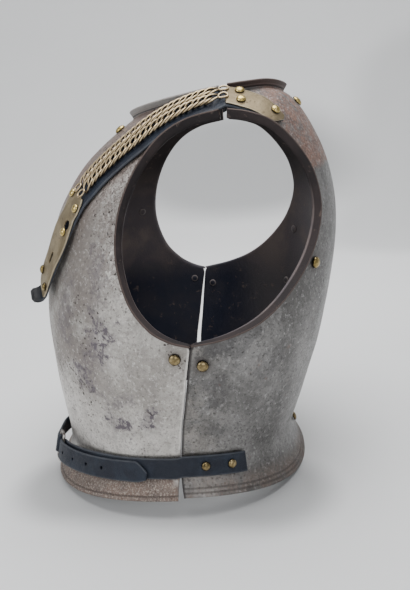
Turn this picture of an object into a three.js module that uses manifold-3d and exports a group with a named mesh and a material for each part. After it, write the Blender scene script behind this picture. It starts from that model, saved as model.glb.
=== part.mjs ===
// A heavy-cavalry cuirass: a steel breastplate and backplate held together by two chain-covered
// shoulder straps and a buckled leather waist belt, standing on its lower edges.
// Millimetres, +Z up, -Y is the wearer's front, +X the wearer's left. The floor is Z = 0.
import * as THREE from 'three';
import { mergeVertices } from 'three/addons/utils/BufferGeometryUtils.js';
import Module from 'manifold-3d';

const wasm = await Module();
wasm.setup();

// ---------------------------------------------------------------- driving dimensions
const GAP = 0.3;                 // clearance between pieces that touch
const BREAST_THICK = 2.6;
const BACK_THICK = 2.0;
const LIP_HEIGHT = 9;            // turned-out flange round the armholes
const NECK_LIP_HEIGHT = 9;       // turned-out flange round the neck
const NECK_CENTRE_Y = 36;        // neck opening in plan: an ellipse about this Y
const NECK_RADIUS_X = 84;
const NECK_RADIUS_Y = 83.5;
const NECK_END_Y = { front: 50, back: 58 };  // where the neck edge meets the shoulder gap
const RIGHT_SEAM_OPENING = 6;    // the right side seam gapes below the armpit
const FOOT_ANGLE = 15;           // degrees of lower edge, each side of the middle, that stand flat
const DIP_TOP = 230;             // level above which the sections no longer dip in the middle
const SHOULDER_DROP = 70;        // how far the shoulder line would fall at SHOULDER_REACH
const SHOULDER_REACH = 147;
const SHOULDER_POWER = 3.32;
const SHOULDER_START = 300;      // level from which the shoulders begin to fall
const SHOULDER_TOP = 429;

const LEATHER = 2.6;             // strap and belt leather
const STRAP_OUTER = 19.5;        // shoulder leather, from its middle towards the arm
const STRAP_INNER = 13.5;        // and towards the neck
const STRAP_TAPER = [[2.5, 2.5], [9, 5.5], [13.5, 9]];  // its first stations, narrowed to the rear plate
const TAPER_START = 12;          // station from which it narrows again
const CURL_RADIUS = 9;           // of its free lower end
const CHAIN_WIDTH = 12.6;
const CHAIN_HEIGHT = 4.8;
const CHAIN_MIDDLES = { chain_outer: 5.2, chain_inner: -7.8 };
const PLATE_METAL = 1.3;         // brass end plates of the shoulder straps
const PLATE_REST = 0.6;          // their height above the leather
const BELT_WIDTH = 22;
const BUCKLE = { height: 32, length: 17, wire: 3.2 };
const STUD = { radius: 5.8, height: 4.2 };
const SMALL_STUD = { radius: 4.6, height: 3.4 };

// Sections of each plate, from the lower edge to the shoulder.
// side: height at the side; half: half width; centre: Y on the centre line; seam: Y at the side
const FRONT = table(['side', 'half', 'centre', 'seam'], [
  [21, 173, -176, -15], [34, 167, -168, -14], [46, 161, -160, -12], [58, 159, -157, -11],
  [75, 160, -157.5, -9], [98, 164, -160.5, -6], [125, 170, -163.5, -1], [155, 176, -165, 4],
  [188, 180, -166, 10], [215, 179, -164, 14], [245, 174, -159.5, 19], [275, 168, -152, 24],
  [305, 162, -141, 29], [333, 157, -124, 34], [356, 154, -105.5, 38], [375, 152, -84, 42],
  [391, 150, -62, 46], [405, 149, -40, 49], [418, 148, -10, 51], [426, 148, 22, 53],
  [429, 148, 50, 54],
]);
const BACK = table(['side', 'half', 'centre', 'seam'], [
  [24, 173, 128, -9], [36, 167, 121.5, -10.5], [48, 161, 116, -10.2], [60, 159, 113, -9.3],
  [76, 160, 119, -7.4], [98, 164, 128, -4.6], [125, 170, 138, 0.4], [155, 176, 149, 5.4],
  [189, 180, 158, 11.4], [215, 179, 164, 17], [245, 174, 169.5, 22], [275, 168, 172.5, 27],
  [305, 162, 172, 32], [335, 157, 167, 37], [358, 154, 160, 42], [376, 152, 152, 46],
  [392, 150, 143.5, 50], [406, 149, 134, 53], [418, 148, 121, 55], [426, 148, 102, 56],
  [429, 148, 78, 56], [430, 148, 57, 56],
]);
// Armhole edge seen from the side, from the armpit up to the shoulder.
const FRONT_ARMHOLE = table(['y', 'z'], [
  [10, 188], [-8, 195], [-25, 207], [-41, 228], [-50, 258], [-51, 287], [-44, 319],
  [-29, 350], [-6, 376], [20, 390], [51, 396],
]);
const BACK_ARMHOLE = table(['y', 'z'], [
  [11.4, 189], [45, 196], [76, 209], [103, 231], [126, 263], [137, 300], [132, 335],
  [117, 362], [97, 383], [77, 392], [57, 396],
]);
// Route of the shoulder strap's middle: row of the plate's section table, X, and height above it.
const STRAP_ON_BACK = table(['row', 'x', 'lift'], [
  [17.3, 104.5, 0.9], [18, 107, 0.9], [19, 105, 1.2], [20, 100.5, 2], [21, 97, 2.8],
]);
const STRAP_ON_FRONT = table(['row', 'x', 'lift'], [
  [20, 97, 2.6], [19, 97.5, 1.8], [18, 98, 1.2], [17, 98, 0.9], [16, 98, 0.9], [15, 98, 0.9],
  [14, 97, 0.9], [13.3, 95.5, 1], [12.6, 93.5, 1.6], [11.8, 93, 2.4], [11.2, 91, 3.2],
  [10.6, 87, 4], [10.1, 81, 4.6], [9.7, 75, 5], [9.4, 70, 5.4],
]);
// Outline of the brass end plates: place along the strap's stations, edge to the arm, edge to the neck.
const FRONT_PLATE = table(['station', 'outer', 'inner'], [
  [7.65, 12, 15], [7.9, 15.5, 17.5], [8.3, 17.5, 17.8], [8.6, 16.5, 15.5], [9, 18, 17.5],
  [9.6, 19.5, 19], [10.3, 19, 18], [10.9, 17, 16], [11.6, 16.5, 16], [12.3, 17, 16.5],
  [13, 17, 16.5], [13.7, 15, 14.5], [14, 12, 11.5],
]);
const REAR_PLATE = table(['station', 'outer', 'inner'], [
  [0.1, 3, 3], [0.55, 8, 5], [1, 12.5, 7], [1.6, 14, 9.5], [2.3, 14.5, 11],
  [3.1, 15, 12], [4, 15.5, 13.5],
]);
// Free end of the shoulder leather: turn away from the breastplate, half width there.
const CURL = table(['angle', 'half'], [[15, 12], [45, 12], [75, 11.5], [100, 10.5], [115, 7]]);
// Belts: angle round the waist from the front middle (beyond 90 on the backplate), row, height.
const BELT_LEFT = table(['angle', 'row', 'lift'], [
  [119.5, 2.4, 0.8], [112, 2.42, 0.8], [106, 2.44, 0.8], [100, 2.46, 1], [92, 2.48, 1.5], [84, 2.5, 1.5],
  [75, 2.52, 1], [66, 2.55, 0.8], [58, 2.6, 1.1], [50, 2.62, 2.2], [42, 2.6, 4.2], [35, 2.56, 6.4],
  [31, 2.5, 7.4], [27, 2.46, 8],
]);
const BELT_TAIL = table(['angle', 'row', 'lift'], [
  [31, 2.4, 13.8], [36, 2.37, 12.2], [42, 2.34, 9.4], [50, 2.32, 6.8], [58, 2.31, 5], [66, 2.3, 4.1],
  [72, 2.3, 4.1],
]);
const BELT_RIGHT = table(['angle', 'row', 'lift'], [
  [-119.5, 2.4, 0.8], [-112, 2.42, 0.8], [-106, 2.44, 0.8], [-100, 2.46, 1], [-92, 2.48, 1.5],
  [-80, 2.5, 1.2], [-68, 2.52, 1], [-56, 2.55, 1], [-44, 2.55, 1], [-33, 2.52, 1], [-22, 2.5, 1.1],
  [-12, 2.48, 1.4], [-3, 2.46, 4], [5, 2.46, 8],
]);
const HOLE_ANGLES = [32, 40, 48.5, 57];    // punched holes of the left belt's tail
const HOLE_RADIUS = 1.6;
const BELT_STUDS = [112, 100];             // rivets through each belt's end, by angle

const COLOURS = {
  steel: { color: 0x8f8d8a, roughness: 0.42, metalness: 1.0 },
  backsteel: { color: 0x77757a, roughness: 0.48, metalness: 1.0 },
  brass: { color: 0xb08d4e, roughness: 0.35, metalness: 1.0 },
  tanbrass: { color: 0x9a8566, roughness: 0.5, metalness: 0.9 },
  leather: { color: 0x1b222c, roughness: 0.55, metalness: 0.0 },
  iron: { color: 0x3b3634, roughness: 0.55, metalness: 0.8 },
};

// ---------------------------------------------------------------- small helpers
function table(columns, rows) {
  return rows.map((row) => Object.fromEntries(columns.map((name, i) => [name, row[i]])));
}

const radians = (degrees) => degrees * Math.PI / 180;
const clamp = (value, low, high) => Math.min(Math.max(value, low), high);

// Smooth curve through a table's rows; place counts rows from 0.
function along(rows, place) {
  const last = rows.length - 1;
  const i = clamp(Math.floor(place), 0, last - 1);
  const t = place - i;
  const result = {};
  for (const key of Object.keys(rows[0])) {
    const a = rows[i][key];
    const b = rows[i + 1][key];
    const slopeA = i > 0 ? (b - rows[i - 1][key]) / 2 : b - a;
    const slopeB = i < last - 1 ? (rows[i + 2][key] - a) / 2 : b - a;
    result[key] = (2 * t ** 3 - 3 * t ** 2 + 1) * a + (t ** 3 - 2 * t ** 2 + t) * slopeA
      + (3 * t ** 2 - 2 * t ** 3) * b + (t ** 3 - t ** 2) * slopeB;
  }
  return result;
}

// ---------------------------------------------------------------- the two plates' surfaces
const PLATES = {
  front: { rows: FRONT, armhole: FRONT_ARMHOLE, roundness: 2.0, dip: 21, thickness: BREAST_THICK, armpit: 8, neck: 16.4 },
  back: { rows: BACK, armhole: BACK_ARMHOLE, roundness: 2.1, dip: 24, thickness: BACK_THICK, armpit: 8, neck: 18 },
};

// Outer surface of a plate: theta is 0 on the centre line and 90 degrees at the side,
// row is a place in the section table. Each section is a superellipse quarter; the lower edge
// dips towards the middle and the shoulders fall away towards the arms.
function surface(plate, theta, row) {
  const section = along(plate.rows, row);
  const sine = Math.sin(theta);
  const cosine = Math.abs(Math.cos(theta));
  const power = 2 / plate.roundness;
  const x = section.half * Math.sign(sine) * Math.abs(sine) ** power;
  const y = section.seam + (section.centre - section.seam) * cosine ** power;
  const flat = Math.sin(radians(FOOT_ANGLE)) ** 2;
  const sideways = clamp((sine * sine - flat) / (1 - flat), 0, 1) ** 1.1;
  const fade = clamp((DIP_TOP - section.side) / (DIP_TOP - plate.rows[0].side), 0, 1) ** 1.2;
  const rise = clamp((section.side - SHOULDER_START) / (SHOULDER_TOP - SHOULDER_START), 0, 1.05);
  const shoulder = rise * rise * (3 - 2 * rise) * (Math.abs(x) / SHOULDER_REACH) ** SHOULDER_POWER;
  const z = section.side - plate.dip * fade * (1 - sideways) - SHOULDER_DROP * shoulder;
  return new THREE.Vector3(x, y, z);
}

// Outward normal of the surface, by differences.
function normal(plate, theta, row) {
  const step = 1e-3;
  const back = theta > 0 ? -step : step;
  const down = row > 1 ? -step : step;
  const here = surface(plate, theta, row);
  const round = surface(plate, theta + back, row).sub(here).multiplyScalar(Math.sign(back));
  const up = surface(plate, theta, row + down).sub(here).multiplyScalar(Math.sign(down));
  const side = plate === PLATES.front ? 1 : -1;
  return round.cross(up).multiplyScalar(side).normalize();
}

// The place (theta, row) where two coordinates of the surface meet their targets, by Newton steps.
function solve(plate, keys, target, guess) {
  let [theta, row] = guess;
  const last = plate.rows.length - 1;
  for (let i = 0; i < 60; i += 1) {
    const here = surface(plate, theta, row);
    const miss = keys.map((key, k) => target[k] - here[key]);
    if (Math.max(...miss.map(Math.abs)) < 1e-6) break;
    const turn = theta > 0.5 ? -1e-5 : 1e-5;
    const climb = row > 1 ? -1e-5 : 1e-5;
    const turned = surface(plate, theta + turn, row);
    const climbed = surface(plate, theta, row + climb);
    const [a, c] = keys.map((key) => (turned[key] - here[key]) / turn);
    const [b, d] = keys.map((key) => (climbed[key] - here[key]) / climb);
    const scale = a * d - b * c;
    theta += clamp((d * miss[0] - b * miss[1]) / scale, -0.15, 0.15);
    row += clamp((a * miss[1] - c * miss[0]) / scale, -0.8, 0.8);
    theta = clamp(theta, 0, Math.PI / 2);
    row = clamp(row, 0, last);
  }
  return [theta, row];
}

// ---------------------------------------------------------------- meshes from vertices
function bodyFrom(vertices, triangles) {
  const geometry = new THREE.BufferGeometry();
  geometry.setAttribute('position', new THREE.Float32BufferAttribute(vertices.flatMap((v) => [v.x, v.y, v.z]), 3));
  let volume = 0;
  for (const [a, b, c] of triangles) {
    volume += vertices[a].dot(vertices[b].clone().cross(vertices[c]));
  }
  const facing = volume > 0 ? triangles : triangles.map(([a, b, c]) => [a, c, b]);
  geometry.setIndex(facing.flat());
  geometry.computeVertexNormals();
  return geometry;
}

// Gives a sheet of triangles a thickness: a second sheet behind it and a rim round every free edge.
function thicken(vertices, triangles, thickness, levelRim) {
  const normals = vertices.map(() => new THREE.Vector3());
  for (const [a, b, c] of triangles) {
    const face = vertices[b].clone().sub(vertices[a]).cross(vertices[c].clone().sub(vertices[a]));
    for (const i of [a, b, c]) normals[i].add(face);
  }
  const count = vertices.length;
  const inner = vertices.map((v, i) => {
    const direction = normals[i].clone();
    if (levelRim.has(i)) direction.z = 0;
    if (Math.abs(v.x) < 1e-9) direction.x = 0;
    return v.clone().addScaledVector(direction.normalize(), -thickness);
  });
  const edges = new Map();
  for (const [a, b, c] of triangles) {
    for (const [p, q] of [[a, b], [b, c], [c, a]]) {
      if (edges.has(`${q},${p}`)) edges.delete(`${q},${p}`);
      else edges.set(`${p},${q}`, [p, q]);
    }
  }
  const all = [...triangles, ...triangles.map(([a, b, c]) => [a + count, c + count, b + count])];
  for (const [p, q] of edges.values()) {
    all.push([q, p, p + count], [q, p + count, q + count]);
  }
  return bodyFrom([...vertices, ...inner], all);
}

// ---------------------------------------------------------------- breastplate and backplate
const COLUMNS = 12;
const CENTRE_ROWS = 9;           // rows between the armpit and the neck's middle
const NECK_ROWS = 7;             // rows along the neck edge
const NECK_SHARE = 0.6;          // how far up the armhole the neck edge begins

// Where each row of the mesh starts (centre line or neck edge) and ends (seam or armhole edge).
function rowEnds(name, side) {
  const plate = PLATES[name];
  const ends = [];
  for (let row = 0; row < plate.armpit; row += 1) {
    const open = side < 0 && name === 'back' ? RIGHT_SEAM_OPENING * Math.min(1, (plate.armpit - row) / 5) : 0;
    ends.push({ start: [0, row], end: [Math.PI / 2 - open / 150, row] });
  }
  const sign = name === 'front' ? -1 : 1;
  const neckStart = solveCentre(plate, NECK_CENTRE_Y + sign * NECK_RADIUS_Y);
  let neck = [0, neckStart];
  let arm = [Math.PI / 2, plate.armpit];
  for (let i = 0; i <= CENTRE_ROWS + NECK_ROWS; i += 1) {
    const share = i <= CENTRE_ROWS ? NECK_SHARE * i / CENTRE_ROWS
      : NECK_SHARE + (1 - NECK_SHARE) * (i - CENTRE_ROWS) / NECK_ROWS;
    const edge = along(plate.armhole, share * (plate.armhole.length - 1));
    arm = i === 0 ? arm : solve(plate, ['y', 'z'], [edge.y, edge.z], arm);
    let start = [0, plate.armpit + (neckStart - plate.armpit) * Math.min(i / CENTRE_ROWS, 1)];
    if (i > CENTRE_ROWS) {
      const reach = (NECK_END_Y[name] - NECK_CENTRE_Y) / (sign * NECK_RADIUS_Y);
      const turn = Math.acos(reach) * (i - CENTRE_ROWS) / NECK_ROWS;
      const target = [NECK_RADIUS_X * Math.sin(turn), NECK_CENTRE_Y + sign * NECK_RADIUS_Y * Math.cos(turn)];
      neck = solve(plate, ['x', 'y'], target, neck);
      start = neck;
    }
    ends.push({ start, end: arm });
  }
  return ends;
}

// Row at which the centre line reaches a given Y.
function solveCentre(plate, y) {
  let low = plate.armpit + 6;
  let high = plate.rows.length - 1;
  for (let i = 0; i < 50; i += 1) {
    const middle = (low + high) / 2;
    const beyond = Math.abs(along(plate.rows, middle).centre - NECK_CENTRE_Y) > Math.abs(y - NECK_CENTRE_Y);
    if (beyond) low = middle;
    else high = middle;
  }
  return (low + high) / 2;
}

function plateBody(name) {
  const plate = PLATES[name];
  const vertices = [];
  const triangles = [];
  const levelRim = new Set();
  const centreLine = new Map();
  for (const side of [1, -1]) {
    const ends = rowEnds(name, side);
    const add = (point, key) => {
      const onCentre = key !== undefined && Math.abs(point.x) < 1e-6;
      if (onCentre && centreLine.has(key)) return centreLine.get(key);
      vertices.push(new THREE.Vector3(onCentre ? 0 : side * point.x, point.y, point.z));
      if (onCentre) centreLine.set(key, vertices.length - 1);
      return vertices.length - 1;
    };
    const quad = (a, b, c, d) => {
      const forward = (name === 'front') === (side > 0);
      if (forward) triangles.push([a, b, c], [a, c, d]);
      else triangles.push([a, c, b], [a, d, c]);
    };
    const grid = ends.map(({ start, end }, j) => {
      const row = [];
      for (let i = 0; i <= COLUMNS; i += 1) {
        const share = i / COLUMNS;
        const theta = start[0] + (end[0] - start[0]) * share;
        const place = start[1] + (end[1] - start[1]) * share;
        row.push(add(surface(plate, theta, place), i === 0 ? `row${j}` : undefined));
      }
      return row;
    });
    grid[0].forEach((index) => levelRim.add(index));
    for (let j = 0; j + 1 < grid.length; j += 1) {
      for (let i = 0; i < COLUMNS; i += 1) {
        quad(grid[j][i], grid[j][i + 1], grid[j + 1][i + 1], grid[j + 1][i]);
      }
    }
    // armhole flange: stands off the edge, leaning a little away from the opening
    const armRim = [];
    for (let j = plate.armpit; j < ends.length; j += 1) {
      const [theta, row] = ends[j].end;
      const root = surface(plate, theta, row);
      const before = surface(plate, ...ends[Math.max(j - 1, plate.armpit)].end);
      const after = surface(plate, ...ends[Math.min(j + 1, ends.length - 1)].end);
      const out = normal(plate, Math.min(theta, 1.55), row);
      const edge = after.sub(before).normalize();
      const away = edge.clone().cross(out).multiplyScalar(name === 'front' ? -1 : 1);
      const height = LIP_HEIGHT * Math.min(1, 0.45 + 0.2 * (j - plate.armpit));
      const rim = root.clone().addScaledVector(out, height * 0.93).addScaledVector(away, height * 0.36);
      armRim.push(add(rim));
    }
    for (let k = 0; k + 1 < armRim.length; k += 1) {
      const j = plate.armpit + k;
      quad(grid[j][COLUMNS], armRim[k], armRim[k + 1], grid[j + 1][COLUMNS]);
    }
    // neck flange: flares outwards and upwards from the neck edge
    const first = plate.armpit + CENTRE_ROWS;
    const neckRim = [];
    for (let j = first; j < ends.length; j += 1) {
      const root = surface(plate, ...ends[j].start);
      const out = new THREE.Vector3(root.x, root.y - NECK_CENTRE_Y, 0).normalize();
      const rim = root.clone().addScaledVector(out, NECK_LIP_HEIGHT * 0.55);
      rim.z += NECK_LIP_HEIGHT * 0.84;
      neckRim.push(add(rim, j === first ? 'neck' : undefined));
    }
    for (let k = 0; k + 1 < neckRim.length; k += 1) {
      quad(neckRim[k], grid[first + k][0], grid[first + k + 1][0], neckRim[k + 1]);
    }
  }
  return thicken(vertices, triangles, plate.thickness, levelRim);
}

// ---------------------------------------------------------------- bands that follow the plates
// One station of a band: where it is on a plate, and the unit directions along, across and out.
function strapStations(side) {
  const list = [];
  const put = (plate, rows, name) => {
    for (const { row, x, lift } of rows) {
      const section = along(plate.rows, row);
      const theta = Math.asin((x / section.half) ** (plate.roundness / 2));
      list.push({ plate, theta, row, lift, name });
    }
  };
  put(PLATES.back, STRAP_ON_BACK, 'back');
  put(PLATES.front, STRAP_ON_FRONT, 'front');
  list.forEach((station) => {
    station.point = surface(station.plate, station.theta, station.row);
    station.out = normal(station.plate, station.theta, station.row);
    station.side = side;
  });
  list.forEach((station, i) => {
    const before = list[Math.max(i - 1, 0)].point;
    const after = list[Math.min(i + 1, list.length - 1)].point;
    const forward = after.clone().sub(before).normalize();
    station.across = forward.cross(station.out).normalize();
    if (station.across.x < 0) station.across.negate();
  });
  return list;
}

// A point of a band: `across` millimetres from its middle and `height` above the plate,
// kept on the plate's own curve by moving in the surface's two parameters.
function onStrap(station, across, height) {
  const { plate, theta, row } = station;
  const step = 1e-3;
  const round = surface(plate, theta + step, row).sub(station.point).divideScalar(step);
  const up = surface(plate, theta, row - step).sub(station.point).divideScalar(-step);
  const wish = station.across;
  const rr = round.dot(round);
  const ru = round.dot(up);
  const uu = up.dot(up);
  const determinant = rr * uu - ru * ru;
  const a = (uu * round.dot(wish) - ru * up.dot(wish)) / determinant;
  const b = (rr * up.dot(wish) - ru * round.dot(wish)) / determinant;
  const newTheta = theta + a * across;
  const newRow = clamp(row + b * across, 0, plate.rows.length - 1);
  const point = surface(plate, newTheta, newRow);
  point.addScaledVector(normal(plate, newTheta, newRow), height + station.lift);
  point.x *= station.side;
  return point;
}

// The station a fraction of the way between two listed ones.
function between(stations, place) {
  const i = clamp(Math.floor(place), 0, stations.length - 2);
  const share = place - i;
  const a = stations[i];
  const b = stations[i + 1];
  if (share < 1e-9) return a;
  const mix = (p, q) => p + (q - p) * share;
  const station = { ...a, theta: mix(a.theta, b.theta), row: mix(a.row, b.row), lift: mix(a.lift, b.lift) };
  station.point = surface(station.plate, station.theta, station.row);
  station.across = a.across.clone().lerp(b.across, share).normalize();
  return station;
}

// Closed body swept through rings of points that all have the same number of corners.
function sweep(rings) {
  const corners = rings[0].length;
  const vertices = rings.flat();
  const triangles = [];
  for (let j = 0; j + 1 < rings.length; j += 1) {
    for (let i = 0; i < corners; i += 1) {
      const k = (i + 1) % corners;
      const [a, b] = [j * corners + i, j * corners + k];
      triangles.push([a, b, b + corners], [a, b + corners, a + corners]);
    }
  }
  const last = (rings.length - 1) * corners;
  // the caps fan out from corner 1: a flat band's corners 0, 1 and 2 lie almost on one line
  for (let i = 2; i < corners; i += 1) {
    const k = (i + 1) % corners;
    triangles.push([1, k, i], [last + 1, last + i, last + k]);
  }
  return bodyFrom(vertices, triangles);
}

// Flat band section: across positions from the neck side to the arm side, then back on top.
function flatRing(station, inner, outer, low, high) {
  const stops = [-inner, (outer - inner) / 2, outer];
  const bottom = stops.map((a) => onStrap(station, a, low));
  const top = stops.map((a) => onStrap(station, a, high)).reverse();
  return [...bottom, ...top];
}

function strapLeather(stations) {
  const rings = stations.map((station, i) => {
    const [tail, neck] = i < 3 ? STRAP_TAPER[i] : [STRAP_OUTER, STRAP_INNER];
    const taper = i > TAPER_START ? 1 - 0.07 * (i - TAPER_START) : 1;
    return flatRing(station, neck * taper, Math.min(tail, 14 + i) * taper, 0, LEATHER);
  });
  return sweep([...rings, ...curledEnd(stations[stations.length - 1])]);
}

// Free end of the leather below the front plate: it curls away from the breastplate.
function curledEnd(station) {
  const { point, out, across, lift, side } = station;
  const forward = across.clone().cross(out).normalize();
  if (forward.z > 0) forward.negate();
  const base = point.clone().addScaledVector(out, lift + LEATHER / 2);
  return CURL.map(({ angle, half }) => {
    const turn = radians(angle);
    const centre = base.clone().addScaledVector(forward, CURL_RADIUS * Math.sin(turn))
      .addScaledVector(out, CURL_RADIUS * (1 - Math.cos(turn)));
    const thick = out.clone().multiplyScalar(Math.cos(turn)).addScaledVector(forward, -Math.sin(turn));
    const corners = [[-1, -1], [0, -1], [1, -1], [1, 1], [0, 1], [-1, 1]];
    return corners.map(([a, t]) => {
      const corner = centre.clone().addScaledVector(across, a * half).addScaledVector(thick, t * LEATHER / 2);
      corner.x *= side;
      return corner;
    });
  });
}

const CHAIN_START = 5;           // first station of the chains, beside the shoulder gap
const CHAIN_END = 12.4;
const CHAIN_STEPS = 16;
const CHAIN_OVERHANG = 4;        // the last links reach over the shoulder gap

function chainRow(stations, middle) {
  const rings = [];
  for (let j = 0; j <= CHAIN_STEPS; j += 1) {
    const station = between(stations, CHAIN_START + (CHAIN_END - CHAIN_START) * j / CHAIN_STEPS);
    const ring = [];
    for (let k = 0; k < 8; k += 1) {
      const turn = radians(22.5 + 45 * k);
      const across = middle + CHAIN_WIDTH / 2 * Math.cos(turn);
      const height = LEATHER + GAP + CHAIN_HEIGHT / 2 * (1 + Math.sin(turn));
      ring.push(onStrap(station, across, height));
    }
    rings.push(ring);
  }
  const beyond = rings[0].map((point, k) => {
    const backwards = point.clone().sub(rings[1][k]).normalize();
    return point.clone().addScaledVector(backwards, CHAIN_OVERHANG);
  });
  return sweep([beyond, ...rings]);
}

function endPlate(stations, outline, offset) {
  return sweep(outline.map(({ station, outer, inner }) => {
    const low = LEATHER + PLATE_REST;
    return flatRing(between(stations, station + offset), inner, outer, low, low + PLATE_METAL);
  }));
}

// Point, outward direction and backward direction (up the strap) at a place on a strap.
function outwardAt(stations, place, across) {
  const station = between(stations, place);
  const point = onStrap(station, across, 0);
  const out = onStrap(station, across, 1).sub(point).normalize();
  const back = onStrap(between(stations, place - 0.3), across, 0).sub(point);
  back.addScaledVector(out, -back.dot(out)).normalize();
  return { point, out, back };
}

// ---------------------------------------------------------------- studs
function studGeometry({ radius, height }) {
  const profile = [[0, 0], [radius, 0], [radius, 0.3 * height], [0.72 * radius, 0.78 * height], [0, height]];
  const geometry = new THREE.LatheGeometry(profile.map(([r, h]) => new THREE.Vector2(r, h)), 8);
  return geometry.rotateX(Math.PI / 2);
}

function placedStud(size, point, out) {
  const turn = new THREE.Quaternion().setFromUnitVectors(new THREE.Vector3(0, 0, 1), out);
  return studGeometry(size).applyQuaternion(turn).translate(point.x, point.y, point.z);
}

function studOnPlate(size, name, theta, row, side, clearance = GAP) {
  const plate = PLATES[name];
  const out = normal(plate, theta, row);
  const point = surface(plate, theta, row).addScaledVector(out, clearance);
  point.x *= side;
  out.x *= side;
  return placedStud(size, point, out);
}

function studOnStrap(station, across, height) {
  const point = onStrap(station, across, height);
  const beside = onStrap(station, across + 1, height).sub(onStrap(station, across - 1, height));
  const higher = onStrap(station, across, height + 1).sub(point);
  higher.addScaledVector(beside, -higher.dot(beside) / beside.lengthSq());
  return placedStud(SMALL_STUD, point, higher.normalize());
}

// Button of the breastplate: a shank through leather and plate, with a domed head outside them.
function strapButton({ point, out }) {
  const top = LEATHER + PLATE_REST + PLATE_METAL;
  const shank = bar(BUTTON.shank, top + PLATE_REST, point.clone().addScaledVector(out, top / 2), out, 10);
  const head = placedStud(BUTTON, point.clone().addScaledVector(out, top), out);
  return fromSolid(toSolid(shank).add(toSolid(head)));
}

// Row and height of the left belt's tail at an angle.
function tailAt(angle) {
  const i = BELT_TAIL.findIndex((row) => row.angle >= angle) - 1;
  const share = (angle - BELT_TAIL[i].angle) / (BELT_TAIL[i + 1].angle - BELT_TAIL[i].angle);
  const mix = (key) => BELT_TAIL[i][key] + (BELT_TAIL[i + 1][key] - BELT_TAIL[i][key]) * share;
  return { row: mix('row'), lift: mix('lift') };
}

// ---------------------------------------------------------------- belts
// A place on a belt: middle point, upward direction across the leather, outward direction.
function beltPlace({ angle, row, lift }) {
  const onBack = Math.abs(angle) > 90;
  const plate = onBack ? PLATES.back : PLATES.front;
  const theta = radians(onBack ? 180 - Math.abs(angle) : Math.abs(angle));
  const low = surface(plate, theta, row - 0.9);
  const high = surface(plate, theta, row + 0.9);
  const up = high.clone().sub(low).normalize();
  const plain = normal(plate, theta, row);
  const out = plain.addScaledVector(up, -plain.dot(up)).normalize();
  const point = low.add(high).multiplyScalar(0.5).addScaledVector(out, lift + LEATHER / 2);
  for (const vector of [point, up, out]) vector.x *= Math.sign(angle) || 1;
  return { point, up, out };
}

function beltRing({ point, up, out }, width = BELT_WIDTH) {
  return [[-1, -1], [1, -1], [1, 1], [-1, 1]].map(([u, o]) => point.clone()
    .addScaledVector(up, u * width / 2).addScaledVector(out, o * LEATHER / 2));
}

// Rings of leather folded half a turn round a bar. `first` points from the bar to where the fold
// starts, `ahead` is the way the leather is running there; `inward` turns each ring's face to the bar.
const FOLD_RADIUS = BUCKLE.wire / 2 + GAP + LEATHER / 2;
function foldRings({ middle, up, first, ahead, inward }) {
  const rings = [];
  for (let k = 0; k <= 4; k += 1) {
    const turn = Math.PI * k / 4;
    const spoke = first.clone().multiplyScalar(Math.cos(turn)).addScaledVector(ahead, Math.sin(turn));
    const point = middle.clone().addScaledVector(spoke, FOLD_RADIUS);
    rings.push(beltRing({ point, up, out: spoke.multiplyScalar(inward ? -1 : 1) }));
  }
  return rings;
}

// Where the buckle's two bars lie: one in the left belt's fold, one in the right belt's loop.
function buckleFrameOf(frames) {
  const { point, up, out } = frames[frames.length - 1];
  const ahead = out.clone().cross(up).normalize();
  if (ahead.x > 0) ahead.negate();
  const free = point.clone().addScaledVector(out, FOLD_RADIUS);
  const hinge = free.clone().addScaledVector(ahead, BUCKLE.length);
  return { free, hinge, up, out, ahead };
}

// The left belt runs to the buckle, turns round its free bar and lies back over itself.
function beltLeft(frames, buckle) {
  const { free, up, out, ahead } = buckle;
  const rings = frames.slice(0, -1).map((frame) => beltRing(frame));
  rings.push(...foldRings({ middle: free, up, first: out.clone().negate(), ahead, inward: true }));
  const tail = BELT_TAIL.map(beltPlace).map((place) => ({ ...place, out: place.out.negate() }));
  rings.push(...tail.map((place) => beltRing(place)));
  const last = tail[tail.length - 1];
  const onwards = last.up.clone().cross(last.out).normalize();
  if (onwards.y < 0) onwards.negate();
  const tipPoint = last.point.clone().addScaledVector(onwards, 15).addScaledVector(last.up, -2);
  rings.push(beltRing({ ...last, point: tipPoint }, BELT_WIDTH * 0.36));
  return sweep(rings);
}

// The right belt ends in a loop round the buckle's hinge bar.
function beltRight(frames, buckle) {
  const { hinge, up, out, ahead } = buckle;
  const rings = frames.map((frame) => beltRing(frame));
  rings.push(...foldRings({ middle: hinge, up, first: out, ahead: ahead.clone().negate(), inward: false }));
  const end = hinge.clone().addScaledVector(out, -FOLD_RADIUS).addScaledVector(ahead, 14);
  rings.push(beltRing({ point: end, up, out: out.clone().negate() }));
  return sweep(rings);
}

// ---------------------------------------------------------------- solid cuts
function toSolid(geometry) {
  const bare = geometry.clone();
  bare.deleteAttribute('normal');
  bare.deleteAttribute('uv');
  const merged = mergeVertices(bare, 1e-4);
  return new wasm.Manifold(new wasm.Mesh({
    numProp: 3,
    vertProperties: new Float32Array(merged.attributes.position.array),
    triVerts: new Uint32Array(merged.index.array),
  }));
}

function fromSolid(solid) {
  const mesh = solid.getMesh();
  const geometry = new THREE.BufferGeometry();
  geometry.setAttribute('position', new THREE.BufferAttribute(new Float32Array(mesh.vertProperties), 3));
  geometry.setIndex(Array.from(mesh.triVerts));
  geometry.computeVertexNormals();
  return geometry;
}

// A round bar, centred on a point and lying along a direction.
function bar(radius, length, point, direction, sides = 8) {
  const turn = new THREE.Quaternion().setFromUnitVectors(new THREE.Vector3(0, 1, 0), direction);
  return new THREE.CylinderGeometry(radius, radius, length, sides)
    .applyQuaternion(turn).translate(point.x, point.y, point.z);
}

function cut(geometry, tools) {
  return fromSolid(tools.reduce((solid, tool) => solid.subtract(toSolid(tool)), toSolid(geometry)));
}

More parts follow.
